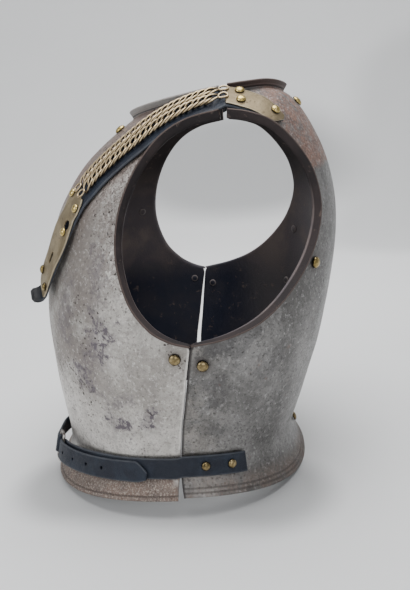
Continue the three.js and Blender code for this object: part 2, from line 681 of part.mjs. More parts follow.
// Cutter for a keyhole: a round head up the strap, a narrower slot down to the given place.
// With two equal radii it is a plain slot.
function slotTool({ point, out, back }, headRadius, slotRadius, length) {
  const shape = new THREE.Shape();
  const reach = Math.asin(Math.min(slotRadius / headRadius, 1));
  shape.absarc(0, 0, headRadius, reach - Math.PI / 2, 1.5 * Math.PI - reach, false);
  shape.absarc(0, -length, slotRadius, Math.PI, 2 * Math.PI, false);
  const depth = 8 * LEATHER;
  const tool = new THREE.ExtrudeGeometry(shape, { depth, bevelEnabled: false, curveSegments: 5 });
  tool.translate(0, length, -depth / 2);
  const right = back.clone().cross(out).normalize();
  const basis = new THREE.Matrix4().makeBasis(right, out.clone().cross(right), out);
  return tool.applyMatrix4(basis.setPosition(point));
}

// ---------------------------------------------------------------- buckle
function buckleFrame({ free, hinge, up, ahead }) {
  const half = BUCKLE.height / 2;
  const wire = BUCKLE.wire / 2;
  const middle = free.clone().lerp(hinge, 0.5);
  const bars = [
    bar(wire, BUCKLE.height + BUCKLE.wire, free, up),
    bar(wire, BUCKLE.height + BUCKLE.wire, hinge, up),
    bar(wire, BUCKLE.length, middle.clone().addScaledVector(up, half), ahead),
    bar(wire, BUCKLE.length, middle.clone().addScaledVector(up, -half), ahead),
  ];
  return fromSolid(bars.map(toSolid).reduce((a, b) => a.add(b)));
}

const PRONG_RADIUS = 1.2;
function prongBar({ free, hinge, ahead }, radius, clearance) {
  const length = BUCKLE.length - 2 * (BUCKLE.wire / 2 + clearance);
  return bar(radius, length, free.clone().lerp(hinge, 0.5), ahead);
}

// ---------------------------------------------------------------- assembly
const cuirass = new THREE.Group();

function addPiece(name, geometry, colour) {
  const mesh = new THREE.Mesh(geometry, new THREE.MeshStandardMaterial(COLOURS[colour]));
  mesh.name = name;
  cuirass.add(mesh);
}

addPiece('breastplate', plateBody('front'), 'steel');
addPiece('backplate', plateBody('back'), 'backsteel');

// studs riveted to the plates: plate, degrees from the centre line, row
const PLATE_STUDS = {
  breast_stud_side: ['front', 85.5, 7.6],
  breast_stud_neck: ['front', 14.5, 16],
  back_stud_side: ['back', 85.5, 7.35],
  back_stud_arm: ['back', 40, 10.1],
  back_stud_neck: ['back', 12.5, 17.1],
};

// studs of the strap plates: station along the strap, distance across it
const FRONT_PLATE_STUDS = [[12.87, -12.5], [13.17, 11], [17.45, -10.5], [17.85, 10.5]];
const REAR_PLATE_STUDS = [[3.28, -7.8], [2.97, 6], [1.1, -1.5]];
// button of the breastplate and the keyhole that drops over it; slot in the plate below it
const BUTTON = { station: 14.3, across: 8, shank: 2.6, room: 0.5, radius: 4.5, height: 3.6 };
const KEYHOLE = { radius: 5.4, length: 8 };
const SLOT = { station: 16.2, across: 1, radius: 2.2, length: 10 };
const WAIST_STUD = { row: 2.3, clearance: 1.2 };

for (const [suffix, side] of [['left', 1], ['right', -1]]) {
  const stations = strapStations(side);
  const button = outwardAt(stations, BUTTON.station, BUTTON.across);
  const slot = outwardAt(stations, SLOT.station, SLOT.across);
  const keyhole = slotTool(button, KEYHOLE.radius, BUTTON.shank + BUTTON.room, KEYHOLE.length);
  const slotHole = slotTool(slot, SLOT.radius, SLOT.radius, SLOT.length);
  addPiece(`strap_leather_${suffix}`, cut(strapLeather(stations), [keyhole]), 'leather');
  for (const [name, middle] of Object.entries(CHAIN_MIDDLES)) {
    addPiece(`${name}_${suffix}`, chainRow(stations, middle), 'brass');
  }
  const frontPlate = endPlate(stations, FRONT_PLATE, STRAP_ON_BACK.length);
  addPiece(`front_plate_${suffix}`, cut(frontPlate, [keyhole, slotHole]), 'tanbrass');
  addPiece(`rear_plate_${suffix}`, endPlate(stations, REAR_PLATE, 0), 'tanbrass');
  const top = LEATHER + PLATE_REST + PLATE_METAL + GAP;
  FRONT_PLATE_STUDS.forEach(([station, across], i) => {
    addPiece(`front_plate_stud_${i + 1}_${suffix}`, studOnStrap(between(stations, station), across, top), 'brass');
  });
  REAR_PLATE_STUDS.forEach(([station, across], i) => {
    addPiece(`rear_plate_stud_${i + 1}_${suffix}`, studOnStrap(between(stations, station), across, top), 'brass');
  });
  addPiece(`strap_button_${suffix}`, strapButton(button), 'brass');
  for (const [name, [plate, degrees, row]] of Object.entries(PLATE_STUDS)) {
    addPiece(`${name}_${suffix}`, studOnPlate(STUD, plate, radians(degrees), row, side), 'brass');
  }
}
addPiece('back_stud_waist', studOnPlate(STUD, 'back', 0, WAIST_STUD.row, 1, WAIST_STUD.clearance), 'brass');

const leftFrames = BELT_LEFT.map(beltPlace);
const rightFrames = BELT_RIGHT.map(beltPlace);
const buckle = buckleFrameOf(leftFrames);
const holes = HOLE_ANGLES.map((angle) => {
  const { row, lift } = tailAt(angle);
  const { point, out } = beltPlace({ angle, row, lift });
  return bar(HOLE_RADIUS, 2.7 * LEATHER, point, out, 6);
});
const prongRoom = () => prongBar(buckle, PRONG_RADIUS + GAP, 0);
addPiece('belt_left', cut(beltLeft(leftFrames, buckle), [...holes, prongRoom()]), 'leather');
addPiece('belt_right', cut(beltRight(rightFrames, buckle), [prongRoom()]), 'leather');
addPiece('buckle_frame', buckleFrame(buckle), 'iron');
addPiece('buckle_prong', prongBar(buckle, PRONG_RADIUS, GAP), 'iron');
for (const [suffix, side] of [['left', 1], ['right', -1]]) {
  BELT_STUDS.forEach((angle, i) => {
    const rows = side > 0 ? BELT_LEFT : BELT_RIGHT;
    const { point, out } = beltPlace(rows.find((row) => Math.abs(row.angle) === angle));
    point.addScaledVector(out, LEATHER / 2 + GAP);
    addPiece(`belt_stud_${i + 1}_${suffix}`, placedStud(SMALL_STUD, point, out), 'brass');
  });
}

export default cuirass;
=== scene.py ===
# The finish of the cuirass: worn steel plates, chain-covered shoulder straps and a leather belt.
# Metres, +Z up, -Y is the wearer's front, +X the wearer's left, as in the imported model.
import bpy
import numpy as np
from mathutils import Matrix, Vector


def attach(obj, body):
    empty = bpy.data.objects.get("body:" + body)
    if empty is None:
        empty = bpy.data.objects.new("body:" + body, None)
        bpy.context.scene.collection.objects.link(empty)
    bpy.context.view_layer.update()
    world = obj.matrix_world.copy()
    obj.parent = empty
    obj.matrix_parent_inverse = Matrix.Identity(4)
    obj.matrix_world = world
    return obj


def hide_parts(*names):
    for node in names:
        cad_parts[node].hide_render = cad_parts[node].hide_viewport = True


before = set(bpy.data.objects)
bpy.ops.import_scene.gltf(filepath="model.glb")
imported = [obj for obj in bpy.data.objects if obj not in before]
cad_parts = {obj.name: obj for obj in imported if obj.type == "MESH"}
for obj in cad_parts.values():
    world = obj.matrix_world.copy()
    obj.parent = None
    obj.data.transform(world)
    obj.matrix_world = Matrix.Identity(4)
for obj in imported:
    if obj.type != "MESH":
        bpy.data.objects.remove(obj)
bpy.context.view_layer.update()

MM = 0.001
GAP = 0.3 * MM

# ---------------------------------------------------------------- the plates' driving sizes
FOOT_ANGLE = np.radians(15)
DIP_TOP = 230 * MM
SHOULDER_DROP, SHOULDER_REACH, SHOULDER_POWER = 70 * MM, 147 * MM, 3.32
SHOULDER_START, SHOULDER_TOP = 300 * MM, 429 * MM
NECK_CENTRE_Y, NECK_RADIUS_X, NECK_RADIUS_Y = 36 * MM, 84 * MM, 83.5 * MM
NECK_SHARE, NECK_FIRST, EDGE_END = 0.6, 9, 16     # steps up the armhole: neck edge starts, ends
ARMPIT = 8                                        # row of the armpit
ARM_LIP, NECK_LIP = 9 * MM, 9 * MM
# The backplate's right edge stands off below the armpit: how far, over how many rows, and the
# radius that turns it into an angle.
RIGHT_SEAM_OPENING, OPENING_ROWS, OPENING_RADIUS = 6 * MM, 5, 150 * MM

# Sections from the lower edge up: height at the side, half width, Y on the centre line, Y at the side.
FRONT_ROWS = [
    (21, 173, -176, -15), (34, 167, -168, -14), (46, 161, -160, -12), (58, 159, -157, -11),
    (75, 160, -157.5, -9), (98, 164, -160.5, -6), (125, 170, -163.5, -1), (155, 176, -165, 4),
    (188, 180, -166, 10), (215, 179, -164, 14), (245, 174, -159.5, 19), (275, 168, -152, 24),
    (305, 162, -141, 29), (333, 157, -124, 34), (356, 154, -105.5, 38), (375, 152, -84, 42),
    (391, 150, -62, 46), (405, 149, -40, 49), (418, 148, -10, 51), (426, 148, 22, 53),
    (429, 148, 50, 54),
]
BACK_ROWS = [
    (24, 173, 128, -9), (36, 167, 121.5, -10.5), (48, 161, 116, -10.2), (60, 159, 113, -9.3),
    (76, 160, 119, -7.4), (98, 164, 128, -4.6), (125, 170, 138, 0.4), (155, 176, 149, 5.4),
    (189, 180, 158, 11.4), (215, 179, 164, 17), (245, 174, 169.5, 22), (275, 168, 172.5, 27),
    (305, 162, 172, 32), (335, 157, 167, 37), (358, 154, 160, 42), (376, 152, 152, 46),
    (392, 150, 143.5, 50), (406, 149, 134, 53), (418, 148, 121, 55), (426, 148, 102, 56),
    (429, 148, 78, 56), (430, 148, 57, 56),
]
# Armhole edges seen from the side: Y and Z from the armpit up to the shoulder.
FRONT_ARMHOLE = [
    (10, 188), (-8, 195), (-25, 207), (-41, 228), (-50, 258), (-51, 287), (-44, 319),
    (-29, 350), (-6, 376), (20, 390), (51, 396),
]
BACK_ARMHOLE = [
    (11.4, 189), (45, 196), (76, 209), (103, 231), (126, 263), (137, 300), (132, 335),
    (117, 362), (97, 383), (77, 392), (57, 396),
]
PLATES = {
    "front": dict(rows=np.array(FRONT_ROWS) * MM, armhole=np.array(FRONT_ARMHOLE) * MM, sign=-1,
                  roundness=2.0, dip=21 * MM, thickness=2.6 * MM, neck_end=50 * MM,
                  grooves=(4.6 * MM,)),
    "back": dict(rows=np.array(BACK_ROWS) * MM, armhole=np.array(BACK_ARMHOLE) * MM, sign=1,
                 roundness=2.1, dip=24 * MM, thickness=2.0 * MM, neck_end=58 * MM,
                 grooves=(4.2 * MM, 8.4 * MM)),
}
# The backplate's side edge is drawn up close to the breastplate above the skirt.
SEAM_CLOSED = 0.8 * MM
PLATES["back"]["rows"][2:, 3] -= SEAM_CLOSED
PLATES["back"]["armhole"][0, 0] -= SEAM_CLOSED

# Shoulder strap: row of the plate's table, X of its middle, height above the plate.
STRAP_ON_BACK = [
    (17.3, 104.5, 0.9), (18, 107, 0.9), (19, 105, 1.2), (20, 100.5, 2), (21, 97, 2.8),
]
STRAP_ON_FRONT = [
    (20, 97, 2.6), (19, 97.5, 1.8), (18, 98, 1.2), (17, 98, 0.9), (16, 98, 0.9), (15, 98, 0.9),
    (14, 97, 0.9), (13.3, 95.5, 1), (12.6, 93.5, 1.6), (11.8, 93, 2.4), (11.2, 91, 3.2),
    (10.6, 87, 4), (10.1, 81, 4.6), (9.7, 75, 5), (9.4, 70, 5.4),
]
CURL = [(15, 12), (45, 12), (75, 11.5), (100, 10.5), (115, 7)]   # turn in degrees, half width
CURL_RADIUS = 9 * MM
LEATHER, PLATE_METAL, PLATE_REST = 2.6 * MM, 1.3 * MM, 0.6 * MM
# End plates: station on the strap, reach to the arm side, reach to the neck side.
FRONT_PLATE = [
    (12.65, 12, 15), (12.9, 15.5, 17.5), (13.3, 17.5, 17.8), (13.6, 16.5, 15.5), (14, 18, 17.5),
    (14.6, 19.5, 19), (15.3, 19, 18), (15.9, 17, 16), (16.6, 16.5, 16), (17.3, 17, 16.5),
    (18, 17, 16.5), (18.7, 15, 14.5), (19, 12, 11.5),
]
REAR_PLATE = [
    (0.1, 3, 3), (0.55, 8, 5), (1, 12.5, 7), (1.6, 14, 9.5), (2.3, 14.5, 11),
    (3.1, 15, 12), (4, 15.5, 13.5),
]
CHAIN_START, CHAIN_END = 4.72, 12.4
CHAIN_MIDDLES = {"chain_outer": 5.2 * MM, "chain_inner": -7.8 * MM}
# Belts: angle round the waist from the front middle, row, height above the plate.
BELT_LEFT = [
    (119.5, 2.4, 0.8), (112, 2.42, 0.8), (106, 2.44, 0.8), (100, 2.46, 1), (92, 2.48, 1.5),
    (84, 2.5, 1.5), (75, 2.52, 1), (66, 2.55, 0.8), (58, 2.6, 1.1), (50, 2.62, 2.2),
    (42, 2.6, 4.2), (35, 2.56, 6.4), (31, 2.5, 7.4), (27, 2.46, 8),
]
BELT_TAIL = [
    (31, 2.4, 13.8), (36, 2.37, 12.2), (42, 2.34, 9.4), (50, 2.32, 6.8), (58, 2.31, 5),
    (66, 2.3, 4.1), (72, 2.3, 4.1),
]
BELT_RIGHT = [
    (-119.5, 2.4, 0.8), (-112, 2.42, 0.8), (-106, 2.44, 0.8), (-100, 2.46, 1), (-92, 2.48, 1.5),
    (-80, 2.5, 1.2), (-68, 2.52, 1), (-56, 2.55, 1), (-44, 2.55, 1), (-33, 2.52, 1),
    (-22, 2.5, 1.1), (-12, 2.48, 1.4), (-3, 2.46, 4), (5, 2.46, 8),
]
BELT_WIDTH, BELT_HALF_ROWS = 22 * MM, 0.9        # the width, and the rows its chord spans each way
TIP_LENGTH, TIP_DROP, TIP_NARROWING = 15 * MM, 2 * MM, 0.64
FOLDED_END = 14 * MM                             # of the right belt behind its bar
HOLE_ANGLES, HOLE_RADIUS, HOLE_DEPTH = (32, 40, 48.5, 57), 1.7 * MM, 2.2 * MM
BUCKLE_HEIGHT, BUCKLE_LENGTH, BUCKLE_WIRE = 32 * MM, 17 * MM, 1.6 * MM
BUCKLE_TURNS, CORNER_POWER, WIRE_SIDES = 96, 6, 12
PRONG_RADIUS, PRONG_TAPER, PRONG_END = 1.25 * MM, 0.35 * MM, 0.25
FOLD_RADIUS = BUCKLE_WIRE + GAP + LEATHER / 2

# ---------------------------------------------------------------- camera and light
CAMERA_PLACE, CAMERA_LENS = (0.800, 0.0627, 0.3906), 42.1
CAMERA_FORWARD, CAMERA_DOWN = (-0.96923, -0.05502, -0.23994), (0.24301, -0.05812, -0.96828)
# Soft square lights: name, place, aim, size, power.
LIGHTS = [
    ("overhead", (0.1, 0.1, 1.5), (0, 0, 0.2), 1.1, 23),
    ("front_left", (0.9, -1.1, 0.9), (0, 0, 0.22), 0.9, 8),
    ("camera_side", (1.5, 0.5, 0.75), (0, 0, 0.2), 1.0, 5),
    ("backdrop", (-0.9, 0, 1.7), (-2.4, 0, 0.4), 1.2, 30),
]


def add_to_scene(name, data):
    made = bpy.data.objects.new(name, data)
    bpy.context.scene.collection.objects.link(made)
    return made


def set_camera():
    """Looks at the wearer's left side from a little above, rolled a few degrees."""
    forward, down = Vector(CAMERA_FORWARD), Vector(CAMERA_DOWN)
    turn = Matrix((down.cross(forward).normalized(), -down, -forward)).transposed()
    data = bpy.data.cameras.new("camera")
    data.lens = CAMERA_LENS
    camera = add_to_scene("camera", data)
    camera.matrix_world = Matrix.Translation(CAMERA_PLACE) @ turn.to_4x4()
    bpy.context.scene.camera = camera


def set_lights():
    """Even pale surroundings and the soft lights of the table."""
    world = bpy.data.worlds.new("studio")
    bpy.context.scene.world = world
    world.use_nodes = True
    background = world.node_tree.nodes["Background"].inputs
    background["Color"].default_value = (0.84, 0.86, 0.88, 1)
    background["Strength"].default_value = 0.48
    for name, place, aim, size, power in LIGHTS:
        data = bpy.data.lights.new(name, "AREA")
        data.size = size
        data.energy = power
        light = add_to_scene(name, data)
        light.rotation_euler = (Vector(aim) - Vector(place)).to_track_quat("-Z", "Y").to_euler()
        light.location = place


# ---------------------------------------------------------------- surfaces
def curve(rows, place):
    """Smooth curve through a table's rows: on each stretch a cubic whose end slopes are half the
    step between the neighbouring rows."""
    rows = np.asarray(rows, float)
    place = np.asarray(place, float)
    slopes = np.gradient(rows, axis=0)
    i = np.clip(np.floor(place).astype(int), 0, len(rows) - 2)
    t = (place - i).reshape(place.shape + (1,) * (rows.ndim - 1))
    return ((2 * t**3 - 3 * t**2 + 1) * rows[i] + (t**3 - 2 * t**2 + t) * slopes[i]
            + (3 * t**2 - 2 * t**3) * rows[i + 1] + (t**3 - t**2) * slopes[i + 1])


def surface(plate, theta, row):
    """Outer face of a plate. x = half width times sine(theta) and y = seam plus depth times
    cosine(theta), each to a roundness power; z is the section's height, less a dip at the middle
    that fades upwards, less a drop of the shoulders that grows with x."""
    side, half, centre, seam = np.moveaxis(curve(plate["rows"], row), -1, 0)
    sine, cosine = np.sin(theta), np.abs(np.cos(theta))
    power = 2 / plate["roundness"]
    x = half * np.sign(sine) * np.abs(sine) ** power
    y = seam + (centre - seam) * cosine ** power
    flat = np.sin(FOOT_ANGLE) ** 2
    sideways = np.clip((sine**2 - flat) / (1 - flat), 0, 1) ** 1.1
    fade = np.clip((DIP_TOP - side) / (DIP_TOP - plate["rows"][0, 0]), 0, 1) ** 1.2
    rise = np.clip((side - SHOULDER_START) / (SHOULDER_TOP - SHOULDER_START), 0, 1.05)
    shoulder = rise**2 * (3 - 2 * rise) * (np.abs(x) / SHOULDER_REACH) ** SHOULDER_POWER
    z = side - plate["dip"] * fade * (1 - sideways) - SHOULDER_DROP * shoulder
    return np.stack([x, y, z], -1)


def circle(count):
    """Angles that divide a full turn evenly."""
    return np.linspace(0, 2 * np.pi, count, endpoint=False)


def unit(vectors):
    return vectors / np.maximum(np.linalg.norm(vectors, axis=-1, keepdims=True), 1e-12)


def outward(plate, theta, row):
    """Outward normal of a plate: the cross product of its two slopes, by small differences."""
    step = 1e-3
    back = np.where(theta > 0, -step, step)
    down = np.where(row > 1, -step, step)
    here = surface(plate, theta, row)
    round_slope = (surface(plate, theta + back, row) - here) * np.sign(back)[..., None]
    up_slope = (surface(plate, theta, row + down) - here) * np.sign(down)[..., None]
    return unit(-plate["sign"] * np.cross(round_slope, up_slope))


def find(plate, axes, target, guess):
    """The (theta, row) whose two chosen coordinates meet their targets, by Newton steps."""
    theta, row = guess
    for _ in range(40):
        here = surface(plate, np.array(theta), np.array(row))
        miss = target - here[axes]
        if np.abs(miss).max() < 1e-9:
            break
        turn = -1e-5 if theta > 0.5 else 1e-5
        climb = -1e-5 if row > 1 else 1e-5
        by_turn = (surface(plate, np.array(theta + turn), np.array(row)) - here)[axes] / turn
        by_row = (surface(plate, np.array(theta), np.array(row + climb)) - here)[axes] / climb
        step = np.linalg.solve(np.stack([by_turn, by_row], 1), miss)
        theta = float(np.clip(theta + np.clip(step[0], -0.15, 0.15), 0, np.pi / 2))
        row = float(np.clip(row + np.clip(step[1], -0.8, 0.8), 0, len(plate["rows"]) - 1))
    return theta, row


# ---------------------------------------------------------------- meshes from arrays
def grid_faces(rows, columns, wrap_rows=False, wrap_columns=False):
    """Four-sided faces of a grid of vertices, counted row by row; it may close on itself."""
    j = np.arange(rows if wrap_rows else rows - 1)[:, None]
    i = np.arange(columns if wrap_columns else columns - 1)[None, :]
    near, far = j * columns, (j + 1) % rows * columns
    beside = (i + 1) % columns
    return np.stack([near + i, near + beside, far + beside, far + i], -1).reshape(-1, 4)


def joined(parts):
    """One set of points, faces and per-vertex values from several such sets."""
    faces, count = [], 0
    for points, part_faces, _ in parts:
        faces += [np.add(face, count) for face in part_faces]
        count += len(points)
    return np.concatenate([part[0] for part in parts]), faces, np.concatenate([part[2] for part in parts])


def vertices_of(mesh):
    points = np.empty(3 * len(mesh.vertices))
    mesh.vertices.foreach_get("co", points)
    return points.reshape(-1, 3)


def face_outwards(mesh):
    """Turns every face round where the closed mesh's signed volume comes out negative."""
    mesh.calc_loop_triangles()
    corners = np.empty(3 * len(mesh.loop_triangles), np.int32)
    mesh.loop_triangles.foreach_get("vertices", corners)
    a, b, c = vertices_of(mesh)[corners.reshape(-1, 3)].transpose(1, 0, 2)
    if np.einsum("ij,ij->", a, np.cross(b, c)) < 0:
        mesh.flip_normals()


def new_mesh(name, points, faces, materials=(), smooth=True):
    mesh = bpy.data.meshes.new(name)
    mesh.from_pydata(np.asarray(points).reshape(-1, 3).tolist(), [],
                     [tuple(int(i) for i in face) for face in faces])
    mesh.polygons.foreach_set("use_smooth", np.full(len(mesh.polygons), smooth))
    for material in materials:
        mesh.materials.append(material)
    return mesh


def make_piece(name, points, faces, materials, replaces=(), attributes=None):
    """Puts vertices, faces and per-vertex values into a smooth mesh that rides on the root body."""
    mesh = new_mesh(name, points, faces, materials)
    for key, values in (attributes or {}).items():
        layer = mesh.attributes.new(key, "FLOAT", "POINT")
        layer.data.foreach_set("value", np.asarray(values, np.float32).ravel())
    face_outwards(mesh)
    made = add_to_scene(name, mesh)
    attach(made, "root")
    if replaces:
        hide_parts(*replaces)
    return made


def face_normals(points, faces):
    return np.cross(points[faces[:, 2]] - points[faces[:, 0]], points[faces[:, 3]] - points[faces[:, 1]])


def weld(points, faces, attributes):
    """Joins vertices that lie at one place and drops faces that lose an edge by it."""
    _, first, inverse = np.unique(np.round(points / 1e-7).astype(np.int64), axis=0,
                                  return_index=True, return_inverse=True)
    faces = inverse.reshape(-1)[faces]
    flat = (faces[:, 0] == faces[:, 1]) | (faces[:, 1] == faces[:, 2]) \
        | (faces[:, 2] == faces[:, 3]) | (faces[:, 3] == faces[:, 0])
    return points[first], faces[~flat], {key: value[first] for key, value in attributes.items()}


RIM_STEPS = np.pi * np.array([0.25, 0.5, 0.75])
RIM_DEPTH = 0.3                                   # of a rim, as a share of the thickness


def thicken(points, faces, attributes, thickness, level):
    """A sheet becomes a closed shell: a second sheet at the thickness behind it, and round every
    free edge a half-round rim. `level` flattens the offset of vertices near the lower edge."""
    count = len(points)
    face = face_normals(points, faces)
    normals = np.zeros_like(points)
    for corner in range(4):
        np.add.at(normals, faces[:, corner], face)
    normals[:, 2] *= level
    normals[np.abs(points[:, 0]) < 1e-9, 0] = 0
    normals = unit(normals)
    inner = points - normals * thickness
    edges = np.concatenate([faces[:, [k, (k + 1) % 4]] for k in range(4)])
    ahead, behind = edges @ [count, 1], edges @ [1, count]
    edges = edges[~np.isin(ahead, behind)]
    away = np.zeros_like(points)
    along = unit(points[edges[:, 1]] - points[edges[:, 0]])
    for corner in range(2):
        np.add.at(away, edges[:, corner], np.cross(along, normals[edges[:, corner]]))
    rim = np.unique(edges)
    away = unit(away[rim])
    middle = (points[rim] + inner[rim]) / 2
    half, back = thickness / 2, RIM_DEPTH * thickness
    rings = [middle + normals[rim] * half * np.cos(a) - away * back * (1 - np.sin(a)) for a in RIM_STEPS]
    points, inner = points.copy(), inner.copy()
    points[rim] -= away * back
    inner[rim] -= away * back
    place = np.full(count, -1)
    place[rim] = np.arange(len(rim))
    levels = [edges] + [2 * count + k * len(rim) + place[edges] for k in range(len(RIM_STEPS))]
    levels.append(edges + count)
    strips = [np.stack([a[:, 1], a[:, 0], b[:, 0], b[:, 1]], 1) for a, b in zip(levels, levels[1:])]
    all_points = np.concatenate([points, inner] + rings)
    all_faces = np.concatenate([faces] + strips + [faces[:, ::-1] + count])
    inside = np.zeros(len(all_faces), int)
    inside[-len(faces):] = 1
    values = {key: np.concatenate([v, v] + [v[rim]] * len(RIM_STEPS)) for key, v in attributes.items()}
    return all_points, all_faces, values, inside


# ---------------------------------------------------------------- breastplate and backplate
COLUMNS = 72
LIP_STEPS = 6
ARM_LIP_OUT, ARM_LIP_LEAN = 0.93, 0.36            # shares of the armhole flange's width
ARM_LIP_START, ARM_LIP_GROWTH = 0.45, 0.2         # its width at the armpit, and per step up
NECK_LIP_OUT, NECK_LIP_UP = 0.55, 0.84            # shares of the neck flange's width
GROOVE_WIDTH, GROOVE_DEPTH, GROOVE_TOP = 0.75 * MM, 0.55 * MM, 20 * MM
SIDE_LIMIT = 1.55                                 # normals are taken just short of the side
LEVEL_HEIGHT = 6 * MM                             # the shell's lower edge is cut level over this
# What each point of a plate knows: its share of the flange's width, its height over the foot,
# whether it is on the neck's flange, and its distance from the side seam.
PLATE_VALUES = ("lip", "foot", "neck", "seam")
LOW_ROWS = np.concatenate([[0], np.linspace(0.13, 1.2, 26), np.linspace(1.2, ARMPIT, 42)[1:]])
HIGH_STEPS = np.linspace(0, EDGE_END, 97)[1:]


def row_ends(plate, side):
    """Each mesh row's first and last (theta, row): from the centre line or the neck's edge to the
    side seam or the armhole's edge."""
    starts, ends = [], []
    opens = side < 0 and plate["sign"] > 0
    for row in LOW_ROWS:
        share = min(1, (ARMPIT - row) / OPENING_ROWS)
        gape = RIGHT_SEAM_OPENING * share / OPENING_RADIUS if opens else 0
        starts.append((0, row))
        ends.append((np.pi / 2 - gape, row))
    fine = np.linspace(ARMPIT + 6, len(plate["rows"]) - 1, 3000)
    reach = np.abs(curve(plate["rows"], fine)[:, 2] - NECK_CENTRE_Y)
    neck_row = np.interp(-NECK_RADIUS_Y, -reach, fine)
    neck, arm = (0.0, float(neck_row)), (np.pi / 2, float(ARMPIT))
    widest = np.arccos((plate["neck_end"] - NECK_CENTRE_Y) / (plate["sign"] * NECK_RADIUS_Y))
    for step in HIGH_STEPS:
        beyond = max(step - NECK_FIRST, 0) / (EDGE_END - NECK_FIRST)
        share = NECK_SHARE * min(step / NECK_FIRST, 1) + (1 - NECK_SHARE) * beyond
        target = curve(plate["armhole"], np.array(share * (len(plate["armhole"]) - 1)))
        arm = find(plate, [1, 2], target, arm)
        if beyond > 0:
            turn = widest * beyond
            target = np.array([NECK_RADIUS_X * np.sin(turn),
                               NECK_CENTRE_Y + plate["sign"] * NECK_RADIUS_Y * np.cos(turn)])
            neck = find(plate, [0, 1], target, neck)
            starts.append(neck)
        else:
            starts.append((0, ARMPIT + (neck_row - ARMPIT) * step / NECK_FIRST))
        ends.append(arm)
    return np.array(starts), np.array(ends)


def soften(net, column, passes=3):
    """Rounds a fold at one column of a net by averaging each near column with its neighbours."""
    for _ in range(passes):
        for i in (column - 1, column, column + 1):
            net[:, i] = (net[:, i - 1] + 2 * net[:, i] + net[:, i + 1]) / 4
    return net


def plate_half(plate, side):
    """One half of a plate as a net from the middle to the side, with the turned-out flanges of
    the armhole and the neck as further nets that share its edges."""
    starts, ends = row_ends(plate, side)
    share = np.linspace(0, 1, COLUMNS + 1)[None, :]
    theta = starts[:, :1] + (ends[:, :1] - starts[:, :1]) * share
    row = starts[:, 1:] + (ends[:, 1:] - starts[:, 1:]) * share
    main = surface(plate, theta, row)
    foot = main[..., 2] - surface(plate, theta, np.zeros_like(row))[..., 2]
    sink = sum(np.exp(-((foot - groove) / GROOVE_WIDTH) ** 2) for groove in plate["grooves"])
    main -= outward(plate, theta, row) * (GROOVE_DEPTH * sink * (foot < GROOVE_TOP))[..., None]
    first = len(LOW_ROWS) - 1
    edge = main[first:, -1]
    run = unit(np.gradient(edge, axis=0))
    out = outward(plate, np.minimum(theta[first:, -1], SIDE_LIMIT), row[first:, -1])
    lean = plate["sign"] * np.cross(run, out)
    steps = np.concatenate([[0], HIGH_STEPS])
    width = ARM_LIP * np.minimum(1, ARM_LIP_START + ARM_LIP_GROWTH * steps)[:, None]
    rim = edge + out * width * ARM_LIP_OUT + lean * width * ARM_LIP_LEAN
    lip = np.linspace(0, 1, LIP_STEPS + 1)
    flange = edge[:, None] + (rim - edge)[:, None] * lip[None, 1:, None]
    net = soften(np.concatenate([main[first:], flange], 1), COLUMNS)
    main[first:] = net[:, :COLUMNS + 1]
    arm_flange = net[:, COLUMNS:]
    neck_first = first + int(np.searchsorted(HIGH_STEPS, NECK_FIRST))
    neck_first += int(HIGH_STEPS[neck_first - first] <= NECK_FIRST)
    root = main[neck_first:, 0]
    flare = unit(np.stack([root[:, 0], root[:, 1] - NECK_CENTRE_Y, np.zeros(len(root))], -1))
    rise = flare * NECK_LIP * NECK_LIP_OUT + np.array([0, 0, NECK_LIP * NECK_LIP_UP])
    flange = root[:, None] + rise[:, None] * lip[None, :0:-1, None]
    net = soften(np.concatenate([flange, main[neck_first:]], 1), LIP_STEPS)
    main[neck_first:] = net[:, LIP_STEPS:]
    neck_flange = net[:, :LIP_STEPS + 1]
    seam = np.abs(main[..., 1] - main[:, -1:, 1])
    seam[first + 1:] = 1
    nets = [(main, np.zeros(COLUMNS + 1), foot, 0, seam), (arm_flange, lip, 1, 0, 1),
            (neck_flange, lip[::-1], 1, 1, 1)]
    turned = (plate["sign"] < 0) == (side > 0)
    parts = []
    for net, *given in nets:
        faces = grid_faces(*net.shape[:2])
        spread = [np.broadcast_to(value, net.shape[:2]) for value in given]
        parts.append((net.reshape(-1, 3) * [side, 1, 1], faces if turned else faces[:, ::-1],
                      np.stack(spread, -1).reshape(-1, len(PLATE_VALUES))))
    return joined(parts)


STAIN_REACH = 11 * MM


def stud_stain(points, node):
    """Tarnish about each stud of a plate: 1 beside it, falling off as a bell curve."""
    stain = np.zeros(len(points))
    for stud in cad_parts:
        if stud.startswith(node.replace("plate", "_stud")):
            middle = node_axis(stud)[0]
            away = np.linalg.norm(points - middle, axis=1)
            stain = np.maximum(stain, np.exp(-(away / STAIN_REACH) ** 2))
    return stain


def make_plate(name, node, materials):
    """Both halves welded along the centre line, thickened, with the inner face in its own finish."""
    plate = PLATES[name]
    points, faces, values = joined([plate_half(plate, side) for side in (1, -1)])
    points, faces, attributes = weld(points, np.array(faces), dict(zip(PLATE_VALUES, values.T)))
    attributes["stain"] = stud_stain(points, node)
    level = np.clip(attributes["foot"] / LEVEL_HEIGHT, 0, 1)
    points, faces, attributes, inside = thicken(points, faces, attributes, plate["thickness"], level)
    made = make_piece(node + "_shell", points, faces, materials, [node], attributes)
    made.data.polygons.foreach_set("material_index", inside.astype(np.int32))
    made.data.update()


# ---------------------------------------------------------------- the strap's own coordinates
ACROSS = np.linspace(-21, 24, 16) * MM


